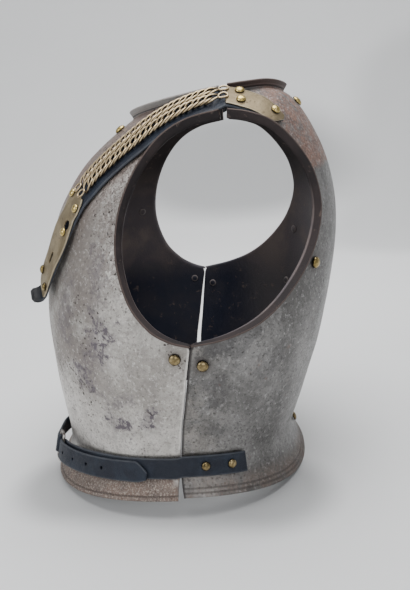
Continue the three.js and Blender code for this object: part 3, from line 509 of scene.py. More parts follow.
def strap_net():
    """Rows of points and normals across the left strap, one row for each station: each point is
    reached from the station's middle by moving along the plate in its two parameters."""
    centres, outs, lifts, plates, thetas, places = [], [], [], [], [], []
    for name, table in (("back", STRAP_ON_BACK), ("front", STRAP_ON_FRONT)):
        plate = PLATES[name]
        for row, x, lift in table:
            half = curve(plate["rows"], np.array(row))[1]
            theta = np.arcsin((x * MM / half) ** (plate["roundness"] / 2))
            plates.append(plate)
            thetas.append(theta)
            places.append(row)
            lifts.append(lift * MM)
            centres.append(surface(plate, theta, np.array(row)))
            outs.append(outward(plate, theta, np.array(row)))
    centres, outs = np.array(centres), np.array(outs)
    last = len(centres) - 1
    points, normals = [], []
    for i, (plate, theta, row, lift) in enumerate(zip(plates, thetas, places, lifts)):
        ahead = unit(centres[min(i + 1, last)] - centres[max(i - 1, 0)])
        wish = unit(np.cross(ahead, outs[i]))
        wish = wish if wish[0] > 0 else -wish
        step = 1e-3
        turn = (surface(plate, theta + step, np.array(row)) - centres[i]) / step
        climb = (surface(plate, theta, np.array(row - step)) - centres[i]) / -step
        grid = np.array([[turn @ turn, turn @ climb], [turn @ climb, climb @ climb]])
        by_turn, by_row = np.linalg.solve(grid, [turn @ wish, climb @ wish])
        new_theta = theta + by_turn * ACROSS
        new_row = np.clip(row + by_row * ACROSS, 0, len(plate["rows"]) - 1)
        normal = outward(plate, new_theta, new_row)
        points.append(surface(plate, new_theta, new_row) + normal * lift)
        normals.append(normal)
    return np.array(points), np.array(normals)


STRAP_POINTS, STRAP_NORMALS = strap_net()


def across_net(net, station, across):
    """A net's value at (station, distance across): smooth from row to row, straight within one."""
    rows = curve(net, station)
    place = np.clip((across - ACROSS[0]) / (ACROSS[1] - ACROSS[0]), 0, len(ACROSS) - 1.001)
    i = np.floor(place).astype(int)
    t = (place - i)[..., None]
    near = np.take_along_axis(rows, i[..., None, None], -2)[..., 0, :]
    far = np.take_along_axis(rows, (i + 1)[..., None, None], -2)[..., 0, :]
    return near * (1 - t) + far * t


def on_strap(station, across, height, points=STRAP_POINTS, normals=STRAP_NORMALS):
    """Point of the left strap: the net's point plus the height along the net's normal."""
    station, across = np.broadcast_arrays(np.asarray(station, float), np.asarray(across, float))
    height = np.asarray(height, float)
    return across_net(points, station, across) \
        + unit(across_net(normals, station, across)) * height[..., None]


def length_along(across, start, end, count=400):
    """Stations and running length of a line along the strap at one distance across it."""
    stations = np.linspace(start, end, count)
    line = on_strap(stations, across, 0.004)
    steps = np.linalg.norm(np.diff(line, axis=0), axis=1)
    return stations, np.concatenate([[0], np.cumsum(steps)])


EDGE_DEPTH = 0.8                     # of a strip's rounded edge, as a share of half its thickness


def band(place, stations, reach, low, high, name, material, replaces, side, cells=10):
    """A flat strip swept along stations: each ring runs over the top from one edge to the other,
    round a half-round edge, back underneath and round the other edge."""
    half = (high - low) / 2
    t = np.linspace(-1, 1, cells + 1)
    turn = np.linspace(0, np.pi, 5)[1:-1]
    flat, end = np.zeros(cells + 1), np.ones(len(turn))
    side_unit = np.concatenate([t, end, t[::-1], -end])
    extra = np.concatenate([flat, np.sin(turn), flat, -np.sin(turn)])
    lift = np.concatenate([flat + 1, np.cos(turn), flat - 1, -np.cos(turn)])
    inner, outer = reach[:, :1], reach[:, 1:]
    room = half * EDGE_DEPTH
    across = (outer - inner) / 2 + side_unit * ((outer + inner) / 2 - room) + extra * room
    height = (low + high) / 2 + lift * half * np.ones_like(across)
    points = place(np.broadcast_to(stations[:, None], across.shape), across, height)
    rings, corners = across.shape
    faces = list(grid_faces(rings, corners, wrap_columns=True))
    faces += [np.arange(corners)[::-1], np.arange(corners) + (rings - 1) * corners]
    edge = np.broadcast_to(np.abs(side_unit), across.shape)
    return make_piece(name, points * [side, 1, 1], faces, [material], replaces, {"edge": edge})


def cutter(outline, centre, out, up, depth):
    """A prism for cutting: an outline in the plane across `out`, run through the piece."""
    right = np.cross(up, out)
    flat = centre + outline[:, :1] * right + outline[:, 1:] * up
    points = np.concatenate([flat - out * depth, flat + out * depth])
    count = len(outline)
    faces = [tuple(range(count))[::-1], tuple(range(count, 2 * count))]
    faces += [(i, (i + 1) % count, (i + 1) % count + count, i + count) for i in range(count)]
    return add_to_scene("tool", new_mesh("tool", points, faces, smooth=False))


def cut_out(piece, tools):
    """Cuts the tools from a piece, keeps the result as its mesh and deletes the tools."""
    for tool in tools:
        cut = piece.modifiers.new("cut", "BOOLEAN")
        cut.operation = "DIFFERENCE"
        cut.solver = "EXACT"
        cut.object = tool
    graph = bpy.context.evaluated_depsgraph_get()
    done = bpy.data.meshes.new_from_object(piece.evaluated_get(graph))
    piece.modifiers.clear()
    piece.data = done
    for tool in tools:
        bpy.data.objects.remove(tool)


def keyhole_outline(head, slot, length, count=14):
    """Round head of one radius above a straight slot of another, closed by a half circle."""
    reach = np.arcsin(min(slot / head, 1))
    top = np.linspace(reach - np.pi / 2, 1.5 * np.pi - reach, count)
    low = np.linspace(np.pi, 2 * np.pi, count // 2)
    return np.concatenate([
        np.stack([head * np.cos(top), length + head * np.sin(top)], -1),
        np.stack([slot * np.cos(low), slot * np.sin(low)], -1)])


def strap_frame(station, across, side):
    """Point, outward and up-the-strap directions at a place on a strap."""
    point = on_strap(station, across, 0.0)
    out = unit(on_strap(station, across, 0.001) - point)
    back = on_strap(station - 0.3, across, 0.0) - point
    back = unit(back - out * (back @ out))
    mirror = np.array([side, 1, 1])
    return point * mirror, out * mirror, back * mirror


# ---------------------------------------------------------------- studs
DOME_WALL, DOME_FOOT = 0.16, 0.06      # tops of the wall and of its narrower foot, by the height
DOME_NECK = 0.93                       # radius at the very base, by the head's own
BASE_DEPTH = 0.3 * MM                  # points this near to an end count as a part of it


def dome(point, out, radius, height, turns=28):
    """Points and faces of a domed head: a low cylinder wall, then a quarter ellipse to the top,
    turned round the direction it stands in."""
    angle = np.linspace(0, np.pi / 2, 8)[:-1]
    wall = DOME_WALL * height
    reach = np.concatenate([[DOME_NECK, 1, 1], np.cos(angle[1:])]) * radius
    level = np.concatenate([[0, DOME_FOOT * height, wall], wall + np.sin(angle[1:]) * (height - wall)])
    side = unit(np.cross(out, [0.31, 0.2, 0.93]))
    other = np.cross(out, side)
    turn = circle(turns)
    ring = np.cos(turn)[:, None] * side + np.sin(turn)[:, None] * other
    points = point + reach[:, None, None] * ring + level[:, None, None] * out
    count = len(reach) * turns
    points = np.concatenate([points.reshape(-1, 3), [point, point + out * height]])
    faces = list(grid_faces(len(reach), turns, wrap_columns=True))
    first, last = np.arange(turns), np.arange(turns) + (len(reach) - 1) * turns
    faces += [(b, a, count) for a, b in zip(first, np.roll(first, -1))]
    faces += [(a, b, count + 1) for a, b in zip(last, np.roll(last, -1))]
    rise = np.concatenate([np.repeat(level / height, turns), [0, 1]])
    return points, faces, rise


def node_axis(node):
    """Base point, outward direction, radius and height of a stud, from its own CAD solid: the axis
    is the direction of least spread, and the wide end is the base."""
    points = np.unique(np.round(vertices_of(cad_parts[node].data), 6), axis=0)
    middle = (points.min(0) + points.max(0)) / 2
    axis = np.linalg.svd(points - points.mean(0))[2][-1]
    level = (points - middle) @ axis
    spread = np.linalg.norm(points - middle - level[:, None] * axis, axis=1)
    top, base = level > level.max() - BASE_DEPTH, level < level.min() + BASE_DEPTH
    if spread[top].max() > spread[base].max():
        axis, base = -axis, top
    return points[base].mean(0), axis, spread.max(), level.max() - level.min()


def make_studs(material):
    """Domes on the CAD's own places; the buttons stand on the dressed end plates instead."""
    for node in sorted(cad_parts):
        if "stud" not in node and "button" not in node:
            continue
        point, out, radius, height = node_axis(node)
        if "button" in node:
            side = 1 if node.endswith("left") else -1
            point, out, _ = strap_frame(BUTTON_STATION, BUTTON_ACROSS, side)
            point = point + out * (LEATHER + PLATE_REST + PLATE_METAL)
            radius, height = BUTTON_RADIUS, BUTTON_HEIGHT
        points, faces, rise = dome(point, out, radius, height)
        make_piece(node + "_dome", points, faces, [material], [node], {"rise": rise})


# ---------------------------------------------------------------- shoulder straps
# Shoulder leather: station, reach to the neck side; and station, reach to the arm side.
NECK_REACH = [(0, 2), (1, 5), (2, 9), (3, 13.5), (12, 13.5), (19, 12)]
ARM_REACH = [(0, 2), (1, 9), (2, 13.5), (3, 17), (5.5, 19.5), (12, 19.5), (19, 13)]
LEATHER_MIDDLE, LEATHER_RINGS = 12, 90           # so many rings up to this station, and from it on


def leather_reach(stations):
    """Reach to the neck and to the arm of the shoulder leather at each station."""
    return np.stack([np.interp(stations, *np.transpose(table)) * MM
                     for table in (NECK_REACH, ARM_REACH)], 1)


def curled_nets():
    """The strap's net with the rows of the leather's free end added, turning off the plate."""
    last = len(STRAP_POINTS) - 1
    middle = on_strap(float(last), 0.0, 0.0)
    out = unit(on_strap(float(last), 0.0, 0.001) - middle)
    across = unit(on_strap(float(last), 0.01, 0.0) - on_strap(float(last), -0.01, 0.0))
    ahead = unit(np.cross(across, out))
    ahead = ahead if ahead[2] < 0 else -ahead
    points, normals = list(STRAP_POINTS), list(STRAP_NORMALS)
    for degrees, _ in CURL:
        turn = np.radians(degrees)
        thick = out * np.cos(turn) - ahead * np.sin(turn)
        centre = middle + out * LEATHER / 2 + ahead * CURL_RADIUS * np.sin(turn) \
            + out * CURL_RADIUS * (1 - np.cos(turn))
        points.append(centre - thick * LEATHER / 2 + ACROSS[:, None] * across)
        normals.append(np.broadcast_to(thick, (len(ACROSS), 3)))
    return np.array(points), np.array(normals)


BUTTON_STATION, BUTTON_ACROSS = 14.3, 8 * MM
BUTTON_RADIUS, BUTTON_HEIGHT = 4.5 * MM, 3.6 * MM
SLOT_STATION, SLOT_ACROSS = 16.2, 1 * MM
# Radius of the head, half width of the slot and its length.
KEYHOLE, SLOT = (5.4 * MM, 3.1 * MM, 8 * MM), (2.2 * MM, 2.2 * MM, 10 * MM)
LEATHER_CUT, PLATE_CUT = 10 * MM, 12 * MM        # reach of the cutters on each side


def strap_cutter(shape, station, across, side, depth):
    centre, out, back = strap_frame(station, across, side)
    return cutter(keyhole_outline(*shape), centre, out, back, depth)


def make_strap_leather(side, suffix, material):
    """The leather under the chains, with its curled free end and the button's keyhole."""
    points, normals = curled_nets()
    last = len(STRAP_POINTS) - 1
    stations = np.concatenate([np.linspace(0, LEATHER_MIDDLE, LEATHER_RINGS),
                               np.linspace(LEATHER_MIDDLE, last + len(CURL), LEATHER_RINGS)[1:]])
    reach = leather_reach(np.minimum(stations, last))
    curl_half = np.array([CURL[0][1]] + [half for _, half in CURL]) * MM
    narrowed = np.interp(stations, np.arange(last, last + len(CURL) + 1), curl_half)
    free = (stations > last)[:, None]
    reach = np.where(free, np.minimum(reach, narrowed[:, None]), reach)

    def place(station, across, height):
        return on_strap(station, across, height, points, normals)

    made = band(place, stations, reach, 0, LEATHER, "shoulder_leather_" + suffix, material,
                ["strap_leather_" + suffix], side, cells=12)
    cut_out(made, [strap_cutter(KEYHOLE, BUTTON_STATION, BUTTON_ACROSS, side, LEATHER_CUT)])


def make_end_plates(side, suffix, material):
    """The brass plates at both ends of the chains; the front one has a keyhole and a slot."""
    low = LEATHER + PLATE_REST
    for node, outline in (("front_plate_", FRONT_PLATE), ("rear_plate_", REAR_PLATE)):
        table = np.array(outline)
        values = curve(table, np.linspace(0, len(table) - 1, 8 * len(table)))
        made = band(on_strap, values[:, 0], values[:, [2, 1]] * MM, low, low + PLATE_METAL,
                    node + suffix + "_brass", material, [node + suffix], side)
        if node == "front_plate_":
            cut_out(made, [strap_cutter(KEYHOLE, BUTTON_STATION, BUTTON_ACROSS, side, PLATE_CUT),
                           strap_cutter(SLOT, SLOT_STATION, SLOT_ACROSS, side, PLATE_CUT)])


LINK = dict(length=8.6 * MM, width=4.5 * MM, lean=np.radians(24), twist=1.4 * MM, wire=1.05 * MM)
LINK_TURNS, LINK_SIDES = 28, 7
LINK_SPACING = (5.8 * MM, 7.2 * MM)


def link_shape():
    """One chain link about its own middle, as (along, across, height): an ellipse leaning against
    the chain's direction, whose height is minus twist times the sine of twice the angle from the
    crossing line: its long sides lie high and its tips low, so each link lies over one side of
    its neighbour and under the other. The wire's circle is carried round it."""
    angle = circle(LINK_TURNS)
    a, b, c, lean = LINK["length"], LINK["width"], LINK["twist"], LINK["lean"]
    crossing = np.arctan2(-a * np.sin(lean), b * np.cos(lean))

    def laid(long, short, height):
        return np.stack([long * np.cos(lean) - short * np.sin(lean),
                         long * np.sin(lean) + short * np.cos(lean), height], -1)

    line = laid(a * np.cos(angle), b * np.sin(angle), -c * np.sin(2 * (angle - crossing)))
    run = unit(laid(-a * np.sin(angle), b * np.cos(angle), -2 * c * np.cos(2 * (angle - crossing))))
    first = unit(np.cross(run, [0, 0, 1.0]))
    second = np.cross(run, first)
    turn = circle(LINK_SIDES)[None, :, None]
    return line[:, None] + LINK["wire"] * (np.cos(turn) * first[:, None] + np.sin(turn) * second[:, None])


def make_chains(side, suffix, material):
    """Rows of interlocked links: each link's shape is laid into the strap's own coordinates."""
    shape = link_shape()
    top = LEATHER + GAP + LINK["twist"] + LINK["wire"]
    for node, middle in CHAIN_MIDDLES.items():
        stations, lengths = length_along(middle, CHAIN_START, CHAIN_END)
        room = LINK["length"] + LINK["wire"]
        spots = [room]
        while spots[-1] + LINK_SPACING[len(spots) % 2] < lengths[-1] - room:
            spots.append(spots[-1] + LINK_SPACING[len(spots) % 2])
        spots = np.array(spots)[:, None, None]
        along = spots + shape[None, ..., 0]
        station = np.interp(along, lengths, stations)
        across = middle + np.broadcast_to(shape[None, ..., 1], along.shape)
        height = top + np.broadcast_to(shape[None, ..., 2], along.shape)
        points = on_strap(station, across, height)
        one = grid_faces(LINK_TURNS, LINK_SIDES, wrap_rows=True, wrap_columns=True)
        size = LINK_TURNS * LINK_SIDES
        faces = np.concatenate([one + k * size for k in range(len(spots))])
        depth = (height - height.min()) / (height.max() - height.min())
        make_piece(node + "_links_" + suffix, points.reshape(-1, 3) * [side, 1, 1], faces, [material],
                   [node + "_" + suffix], {"depth": depth})


EYE = dict(length=4.6 * MM, width=3.9 * MM, tilt=0.4 * MM, wire=1.05 * MM)
EYE_TURNS, EYE_SIDES = 28, 8
EYE_STATIONS = (4.35, 12.45)


def make_eyes(side, suffix, material):
    """Oval wire eyes that hold the ends of both chain rows to the end plates."""
    angle = circle(EYE_TURNS)[:, None]
    turn = circle(EYE_SIDES)
    wire = EYE["wire"]
    top = LEATHER + PLATE_REST + PLATE_METAL + wire + GAP
    around = (1 + wire / EYE["length"] * np.cos(turn))[None, :]
    height = top + EYE["tilt"] * np.cos(angle) + wire * np.sin(turn)[None, :]
    ring = grid_faces(EYE_TURNS, EYE_SIDES, wrap_rows=True, wrap_columns=True)
    parts = []
    for middle in CHAIN_MIDDLES.values():
        for station in EYE_STATIONS:
            stations, lengths = length_along(middle, station - 2, station + 2)
            along = np.interp(station, stations, lengths) + EYE["length"] * np.cos(angle) * around
            across = middle + EYE["width"] * np.sin(angle) * around
            points = on_strap(np.interp(along, lengths, stations), across, height).reshape(-1, 3)
            parts.append((points, ring, np.ones(len(points))))
    points, faces, depth = joined(parts)
    make_piece("chain_eyes_" + suffix, points * [side, 1, 1], faces, [material],
               attributes={"depth": depth})


# ---------------------------------------------------------------- waist belt and buckle
def belt_places(table):
    """Middle points, directions up the leather and directions out of it, for rows of (angle, row,
    lift): the middle lies on the chord between two rows of the plate, raised by the lift."""
    angle, row, lift = np.asarray(table, float).T
    found = []
    for name, theta in (("front", np.radians(np.abs(angle))), ("back", np.radians(180 - np.abs(angle)))):
        plate = PLATES[name]
        theta = np.clip(theta, 0, np.pi / 2)
        low, high = [surface(plate, theta, row + reach) for reach in (-BELT_HALF_ROWS, BELT_HALF_ROWS)]
        up = unit(high - low)
        out = outward(plate, theta, row)
        out = unit(out - up * np.sum(out * up, -1, keepdims=True))
        found.append((low / 2 + high / 2 + out * (lift * MM + LEATHER / 2)[:, None], up, out))
    on_back = (np.abs(angle) > 90)[:, None]
    mirror = np.stack([np.where(angle < 0, -1, 1), np.ones(len(angle)), np.ones(len(angle))], -1)
    return [np.where(on_back, back, front) * mirror for front, back in zip(*found)]


def smooth_places(table, count):
    return belt_places(curve(table, np.linspace(0, len(table) - 1, count)))


def straight(points, up, out):
    """A stretch whose directions stay the same along its points."""
    return points, np.broadcast_to(up, points.shape), np.broadcast_to(out, points.shape)


def buckle_places():
    """Middles of the buckle's two bars, one in the left belt's fold and the other in the right
    belt's, and the directions up, out and ahead there."""
    point, up, out = [values[-1] for values in belt_places(BELT_LEFT)]
    ahead = unit(np.cross(out, up))
    ahead = ahead if ahead[0] < 0 else -ahead
    free = point + out * FOLD_RADIUS
    return free, free + ahead * BUCKLE_LENGTH, up, out, ahead


def fold(middle, up, first, ahead, inward, steps=14):
    """Half a turn of leather round a bar."""
    turn = np.linspace(0, np.pi, steps)[:, None]
    spoke = first * np.cos(turn) + ahead * np.sin(turn)
    return middle + spoke * FOLD_RADIUS, np.broadcast_to(up, spoke.shape), spoke * (-1 if inward else 1)


SMALLEST_STEP = 0.05 * MM


def even_path(stretches, widths, spacing=1.6 * MM):
    """Joins stretches of (points, up, out), leaves out points that hardly move on, samples the path
    again at an even spacing and smooths it."""
    path = [np.concatenate(parts) for parts in zip(*stretches)]
    steps = np.linalg.norm(np.diff(path[0], axis=0), axis=1)
    keep = np.concatenate([[True], steps > SMALLEST_STEP])
    path, widths = [part[keep] for part in path], widths[keep]
    length = np.concatenate([[0], np.cumsum(np.linalg.norm(np.diff(path[0], axis=0), axis=1))])
    even = np.linspace(0, length[-1], int(length[-1] / spacing))
    points, up, out = [np.stack([np.interp(even, length, part[:, k]) for k in range(3)], -1)
                       for part in path]
    for values in (points, up, out):
        for _ in range(3):
            values[1:-1] = (values[:-2] + 2 * values[1:-1] + values[2:]) / 4
    return points, unit(up), unit(out), np.interp(even, length, widths)


def sweep_belt(name, node, stretches, widths, material):
    """A flat strip of leather along a path, with its own width at every point."""
    points, up, out, widths = even_path(stretches, widths)

    def place(index, across, height):
        index = index.astype(int)
        return points[index] + up[index] * across[..., None] + out[index] * height[..., None]

    reach = np.stack([widths / 2, widths / 2], 1)
    return band(place, np.arange(len(points)).astype(float), reach, -LEATHER / 2, LEATHER / 2,
                name, material, [node], 1, cells=6)


def make_belts(material):
    """The left belt turns round the buckle's free bar and runs back over itself as a punched tail
    with a narrowing tip; the right belt's end is folded round the other bar."""
    free, hinge, up, out, ahead = buckle_places()
    tail_points, tail_up, tail_out = smooth_places(BELT_TAIL, 70)
    onwards = unit(np.cross(tail_up[-1], tail_out[-1]))
    onwards = onwards if onwards[1] > 0 else -onwards
    share = np.linspace(0, 1, 12)[1:, None]
    tip = tail_points[-1] + (onwards * TIP_LENGTH - tail_up[-1] * TIP_DROP) * share
    stretches = [smooth_places(BELT_LEFT, 160), fold(free, up, -out, ahead, True),
                 (tail_points, tail_up, -tail_out), straight(tip, tail_up[-1], -tail_out[-1])]
    full = sum(len(part[0]) for part in stretches[:3])
    narrowing = 1 - TIP_NARROWING * share[:, 0] ** 1.5
    widths = BELT_WIDTH * np.concatenate([np.ones(full), narrowing])
    left = sweep_belt("belt_left_leather", "belt_left", stretches, widths, material)
    round_hole = keyhole_outline(HOLE_RADIUS, HOLE_RADIUS, 0.01 * MM, 12)
    angles, rows, lifts = np.array(BELT_TAIL).T
    spots = np.stack([HOLE_ANGLES, *[np.interp(HOLE_ANGLES, angles, part) for part in (rows, lifts)]], 1)
    cut_out(left, [cutter(round_hole, point, hole_out, hole_up, HOLE_DEPTH)
                   for point, hole_up, hole_out in zip(*belt_places(spots))])
    end = hinge - out * FOLD_RADIUS + ahead * FOLDED_END * share
    stretches = [smooth_places(BELT_RIGHT, 160), fold(hinge, up, out, -ahead, False),
                 straight(end, up, -out)]
    widths = np.full(sum(len(part[0]) for part in stretches), BELT_WIDTH)
    sweep_belt("belt_right_leather", "belt_right", stretches, widths, material)


def tube(line, out, radii, closed, name, material, replaces):
    """A round wire along a line, with rings turned about it; closed, or ended by flat caps."""
    normals = np.broadcast_to(out, line.shape)
    run = np.roll(line, -1, 0) - np.roll(line, 1, 0) if closed else np.gradient(line, axis=0)
    side = unit(np.cross(unit(run), normals))
    turn = circle(WIRE_SIDES)[None, :, None]
    rings = line[:, None] + radii[:, None, None] * (
        np.cos(turn) * normals[:, None] + np.sin(turn) * side[:, None])
    faces = list(grid_faces(len(line), WIRE_SIDES, wrap_rows=closed, wrap_columns=True))
    if not closed:
        cap = np.arange(WIRE_SIDES)
        faces += [cap[::-1], cap + (len(line) - 1) * WIRE_SIDES]
    make_piece(name, rings, faces, [material], replaces)


def make_buckle(material):
    """A wire frame with rounded corners, a superellipse, and its tapered prong."""
    free, hinge, up, out, ahead = buckle_places()
    angle = circle(BUCKLE_TURNS)[:, None]
    shape = [np.sign(wave) * np.abs(wave) ** (2 / CORNER_POWER) for wave in (np.cos(angle), np.sin(angle))]
    line = (free + hinge) / 2 + up * BUCKLE_HEIGHT / 2 * shape[0] + ahead * BUCKLE_LENGTH / 2 * shape[1]
    tube(line, out, np.full(len(line), BUCKLE_WIRE), True, "buckle_wire", material,
         ["buckle_frame"])
    room = BUCKLE_WIRE + GAP
    share = np.linspace(0, 1, 16)
    line = hinge - ahead * (room + share[:, None] * (BUCKLE_LENGTH - 2 * room))
    ends = np.sin(np.pi * np.clip(np.minimum(share, 1 - share) * 6, 0, 0.5))
    radii = (PRONG_RADIUS - PRONG_TAPER * share) * np.maximum(ends, PRONG_END)
    tube(line, out, radii, False, "buckle_prong_pin", material, ["buckle_prong"])


# Rivet ends with no head outside: plate, degrees from the centre line, row.
PLAIN_RIVETS = [("front", 57.5, 11.2), ("back", 39.5, 7.75)]
RIVET_RADIUS, RIVET_HEIGHT, RIVET_TURNS = 4.6 * MM, 1.5 * MM, 20
STUD_GAP = 1.0 * MM                              # beyond the plate's thickness, from a stud's base


def make_rivet_ends(material):
    """The hammered ends of the plates' rivets, flat domes on the inner faces."""
    spots = []
    for node in sorted(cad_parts):
        if not node.startswith(("breast_stud", "back_stud")):
            continue
        point, out, _, _ = node_axis(node)
        thickness = PLATES["front" if node.startswith("breast") else "back"]["thickness"]
        spots.append((point - out * (thickness + STUD_GAP), out))
    for name, degrees, row in PLAIN_RIVETS:
        plate = PLATES[name]
        place = np.radians(degrees), np.array(row)
        out = outward(plate, *place)
        inner = surface(plate, *place) - out * (plate["thickness"] + GAP)
        spots += [(inner * [side, 1, 1], out * [side, 1, 1]) for side in (-1, 1)]
    points, faces, rise = joined([dome(inner, -out, RIVET_RADIUS, RIVET_HEIGHT, RIVET_TURNS)
                                  for inner, out in spots])
    make_piece("rivet_ends", points, faces, [material], attributes={"rise": rise})


# ---------------------------------------------------------------- shader building
class Nodes:
    """The nodes of a material or a group. What a method takes in for a socket is a plain value or
    another node's output."""

    def __init__(self, tree):
        self.tree = tree

    def feed(self, socket, value):
        if isinstance(value, bpy.types.NodeSocket):
            self.tree.links.new(value, socket)
        else:
            socket.default_value = value

    def add(self, kind, inputs=None, **settings):
        made = self.tree.nodes.new("ShaderNode" + kind)
        for key, value in settings.items():
            setattr(made, key, value)
        for key, value in (inputs or {}).items():
            self.feed(made.inputs[key], value)
        return made

    def math(self, operation, a, b=0.0, c=0.0, clamp=False):
        return self.add("Math", {0: a, 1: b, 2: c}, operation=operation, use_clamp=clamp).outputs[0]

    def vector(self, operation, a, b=(0, 0, 0), output="Vector"):
        return self.add("VectorMath", {0: a, 1: b}, operation=operation).outputs[output]

    def scaled(self, vector, share):
        return self.add("VectorMath", {0: vector, "Scale": share}, operation="SCALE").outputs[0]

    def times(self, product, *values):
        for value in values:
            product = self.math("MULTIPLY", product, value)
        return product

    def most(self, largest, *values):
        for value in values:
            largest = self.math("MAXIMUM", largest, value)
        return largest

    def grow(self, value, by, base):
        """The value times `by`, plus the base."""
        return self.math("MULTIPLY_ADD", value, by, base)

    def ramp(self, value, low, high, to_low=0.0, to_high=1.0):
        """Smooth step of a value between two limits."""
        limits = {"Value": value, "From Min": low, "From Max": high, "To Min": to_low, "To Max": to_high}
        return self.add("MapRange", limits, interpolation_type="SMOOTHSTEP").outputs[0]

    def between(self, value, low, high, soft):
        """1 between two limits of a value, fading to 0 over a width inside each of them."""
        return self.times(self.ramp(value, high, high - soft), self.ramp(value, low, low + soft))

    def mix(self, factor, a, b):
        made = self.add("Mix", data_type="RGBA")
        self.feed(made.inputs[0], factor)
        for index, colour in ((6, a), (7, b)):
            self.feed(made.inputs[index], (*colour, 1) if isinstance(colour, tuple) else colour)
        return made.outputs[2]

    def noise(self, place, scale, detail=4.0, rough=0.55, distortion=0.0):
        return self.add("TexNoise", {"Vector": place, "Scale": scale, "Detail": detail,
                                     "Roughness": rough, "Distortion": distortion}).outputs["Fac"]

    def use(self, group, **inputs):
        """Outputs of a shared group; an input's name here is its socket's in small letters."""
        made = self.tree.nodes.new("ShaderNodeGroup")
        made.node_tree = group
        for key, value in inputs.items():
            self.feed(made.inputs[key.capitalize()], value)
        return made.outputs


class Group(Nodes):
    """A shared group that is still being made, with its inputs as `given`."""

    def __init__(self, name, inputs, outputs):
        super().__init__(bpy.data.node_groups.new(name, "ShaderNodeTree"))
        for way, sockets in (("INPUT", inputs), ("OUTPUT", outputs)):
            for socket, kind in sockets.items():
                self.tree.interface.new_socket(socket, in_out=way, socket_type="NodeSocket" + kind)
        self.given = self.tree.nodes.new("NodeGroupInput").outputs
        self.out = self.tree.nodes.new("NodeGroupOutput").inputs

    def give(self, **outputs):
        for key, value in outputs.items():
            self.feed(self.out[key.capitalize()], value)
        return self.tree


def blotch_group():
    """Soft-edged patches: noise of six octaves, pushed apart between two limits."""
    g = Group("blotches", dict(Vector="Vector", Scale="Float", Low="Float", High="Float",
                               Ragged="Float"), dict(Mask="Float"))
    cloud = g.noise(g.given["Vector"], g.given["Scale"], 6.0, g.given["Ragged"], 0.4)
    return g.give(mask=g.ramp(cloud, g.given["Low"], g.given["High"]))


def pit_group():
    """Scattered specks: in a random share of a Voronoi pattern's cells, a disc of random size
    with its outline bent by fine noise."""
    g = Group("pits", dict(Vector="Vector", Scale="Float", Share="Float", Size="Float"),
              dict(Mask="Float"))
    bend = g.add("TexNoise", {"Vector": g.given["Vector"], "Scale": 600.0}).outputs["Color"]
    bent = g.vector("ADD", g.given["Vector"], g.scaled(bend, 3.0 * MM))
    cells = g.add("TexVoronoi", {"Vector": bent, "Scale": g.given["Scale"]})
    chance = g.add("SeparateColor", {0: cells.outputs["Color"]}).outputs
    chosen = g.math("LESS_THAN", chance[0], g.given["Share"])
    size = g.times(g.grow(chance[1], 0.75, 0.25), g.given["Size"])
    near = g.math("SUBTRACT", size, cells.outputs["Distance"])
    return g.give(mask=g.times(g.math("MULTIPLY", near, 14.0, clamp=True), chosen))


def streak_group():
    """A mark along the line from Start to End: 1 near the line and 0 beyond Radius, with the
    distance disturbed by noise. A mark whose ends nearly meet is a round patch."""
    g = Group("streak", dict(Vector="Vector", Start="Vector", End="Vector", Radius="Float",
                             Ragged="Float"), dict(Mask="Float"))
    reach = g.vector("SUBTRACT", g.given["End"], g.given["Start"])
    away = g.vector("SUBTRACT", g.given["Vector"], g.given["Start"])
    along = g.vector("DOT_PRODUCT", away, reach, "Value")
    share = g.math("DIVIDE", along, g.vector("DOT_PRODUCT", reach, reach, "Value"), clamp=True)
    distance = g.vector("DISTANCE", away, g.scaled(reach, share), "Value")
    wobble = g.math("SUBTRACT", g.noise(g.given["Vector"], 75.0, 6.0, 0.7), 0.5)
    wobble = g.times(wobble, g.given["Ragged"], 2.0)
    level = g.math("ADD", g.math("DIVIDE", distance, g.given["Radius"]), wobble)
    return g.give(mask=g.ramp(level, 1.0, 0.5))


def wear_group():
    """The fine wear of uncoated steel over a colour: soft stains, dark grains and rubbed bright
    grains. Mask is where it is dark."""
    g = Group("wear", dict(Vector="Vector", Color="Color", Dark="Color", Bright="Color",
                           Amount="Float"), dict(Color="Color", Mask="Float"))
    place, amount = g.given["Vector"], g.given["Amount"]
    soft = g.ramp(g.noise(place, 48.0, 6.0, 0.75), 0.46, 0.66)
    grain = g.ramp(g.noise(place, 330.0, 4.0, 0.7), 0.48, 0.66)
    rubbed = g.ramp(g.noise(place, 210.0, 5.0, 0.75), 0.53, 0.70)
    dark = g.times(g.most(g.times(soft, 0.75), grain), amount)
    colour = g.mix(dark, g.given["Color"], g.given["Dark"])
    return g.give(color=g.mix(g.times(rubbed, amount), colour, g.given["Bright"]), mask=dark)


def rust_group():
    """Rust colour from three browns, by two sizes of noise."""
    g = Group("rust", dict(Vector="Vector", Redness="Float"), dict(Color="Color"))
    coarse = g.noise(g.given["Vector"], 60.0, 5.0, 0.6)
    fine = g.noise(g.given["Vector"], 420.0, 4.0, 0.65)
    dark = g.mix(g.ramp(coarse, 0.38, 0.62), (0.085, 0.050, 0.042), (0.20, 0.115, 0.085))
    warm = g.mix(g.given["Redness"], (0.20, 0.15, 0.125), (0.33, 0.165, 0.115))
    return g.give(color=g.mix(g.ramp(fine, 0.4, 0.68), dark, warm))


def grain_group():
    """Leather grain height: small pebbles from cell distances, with fine noise over them."""
    g = Group("grain", dict(Vector="Vector", Scale="Float"), dict(Height="Float"))
    cells = g.add("TexVoronoi", {"Vector": g.given["Vector"], "Scale": g.given["Scale"]})
    fine = g.noise(g.given["Vector"], 2400.0, 3.0)
    return g.give(height=g.grow(fine, 0.4, cells.outputs["Distance"]))


BLOTCH, PIT, STREAK, WEAR = blotch_group(), pit_group(), streak_group(), wear_group()
RUST, GRAIN = rust_group(), grain_group()


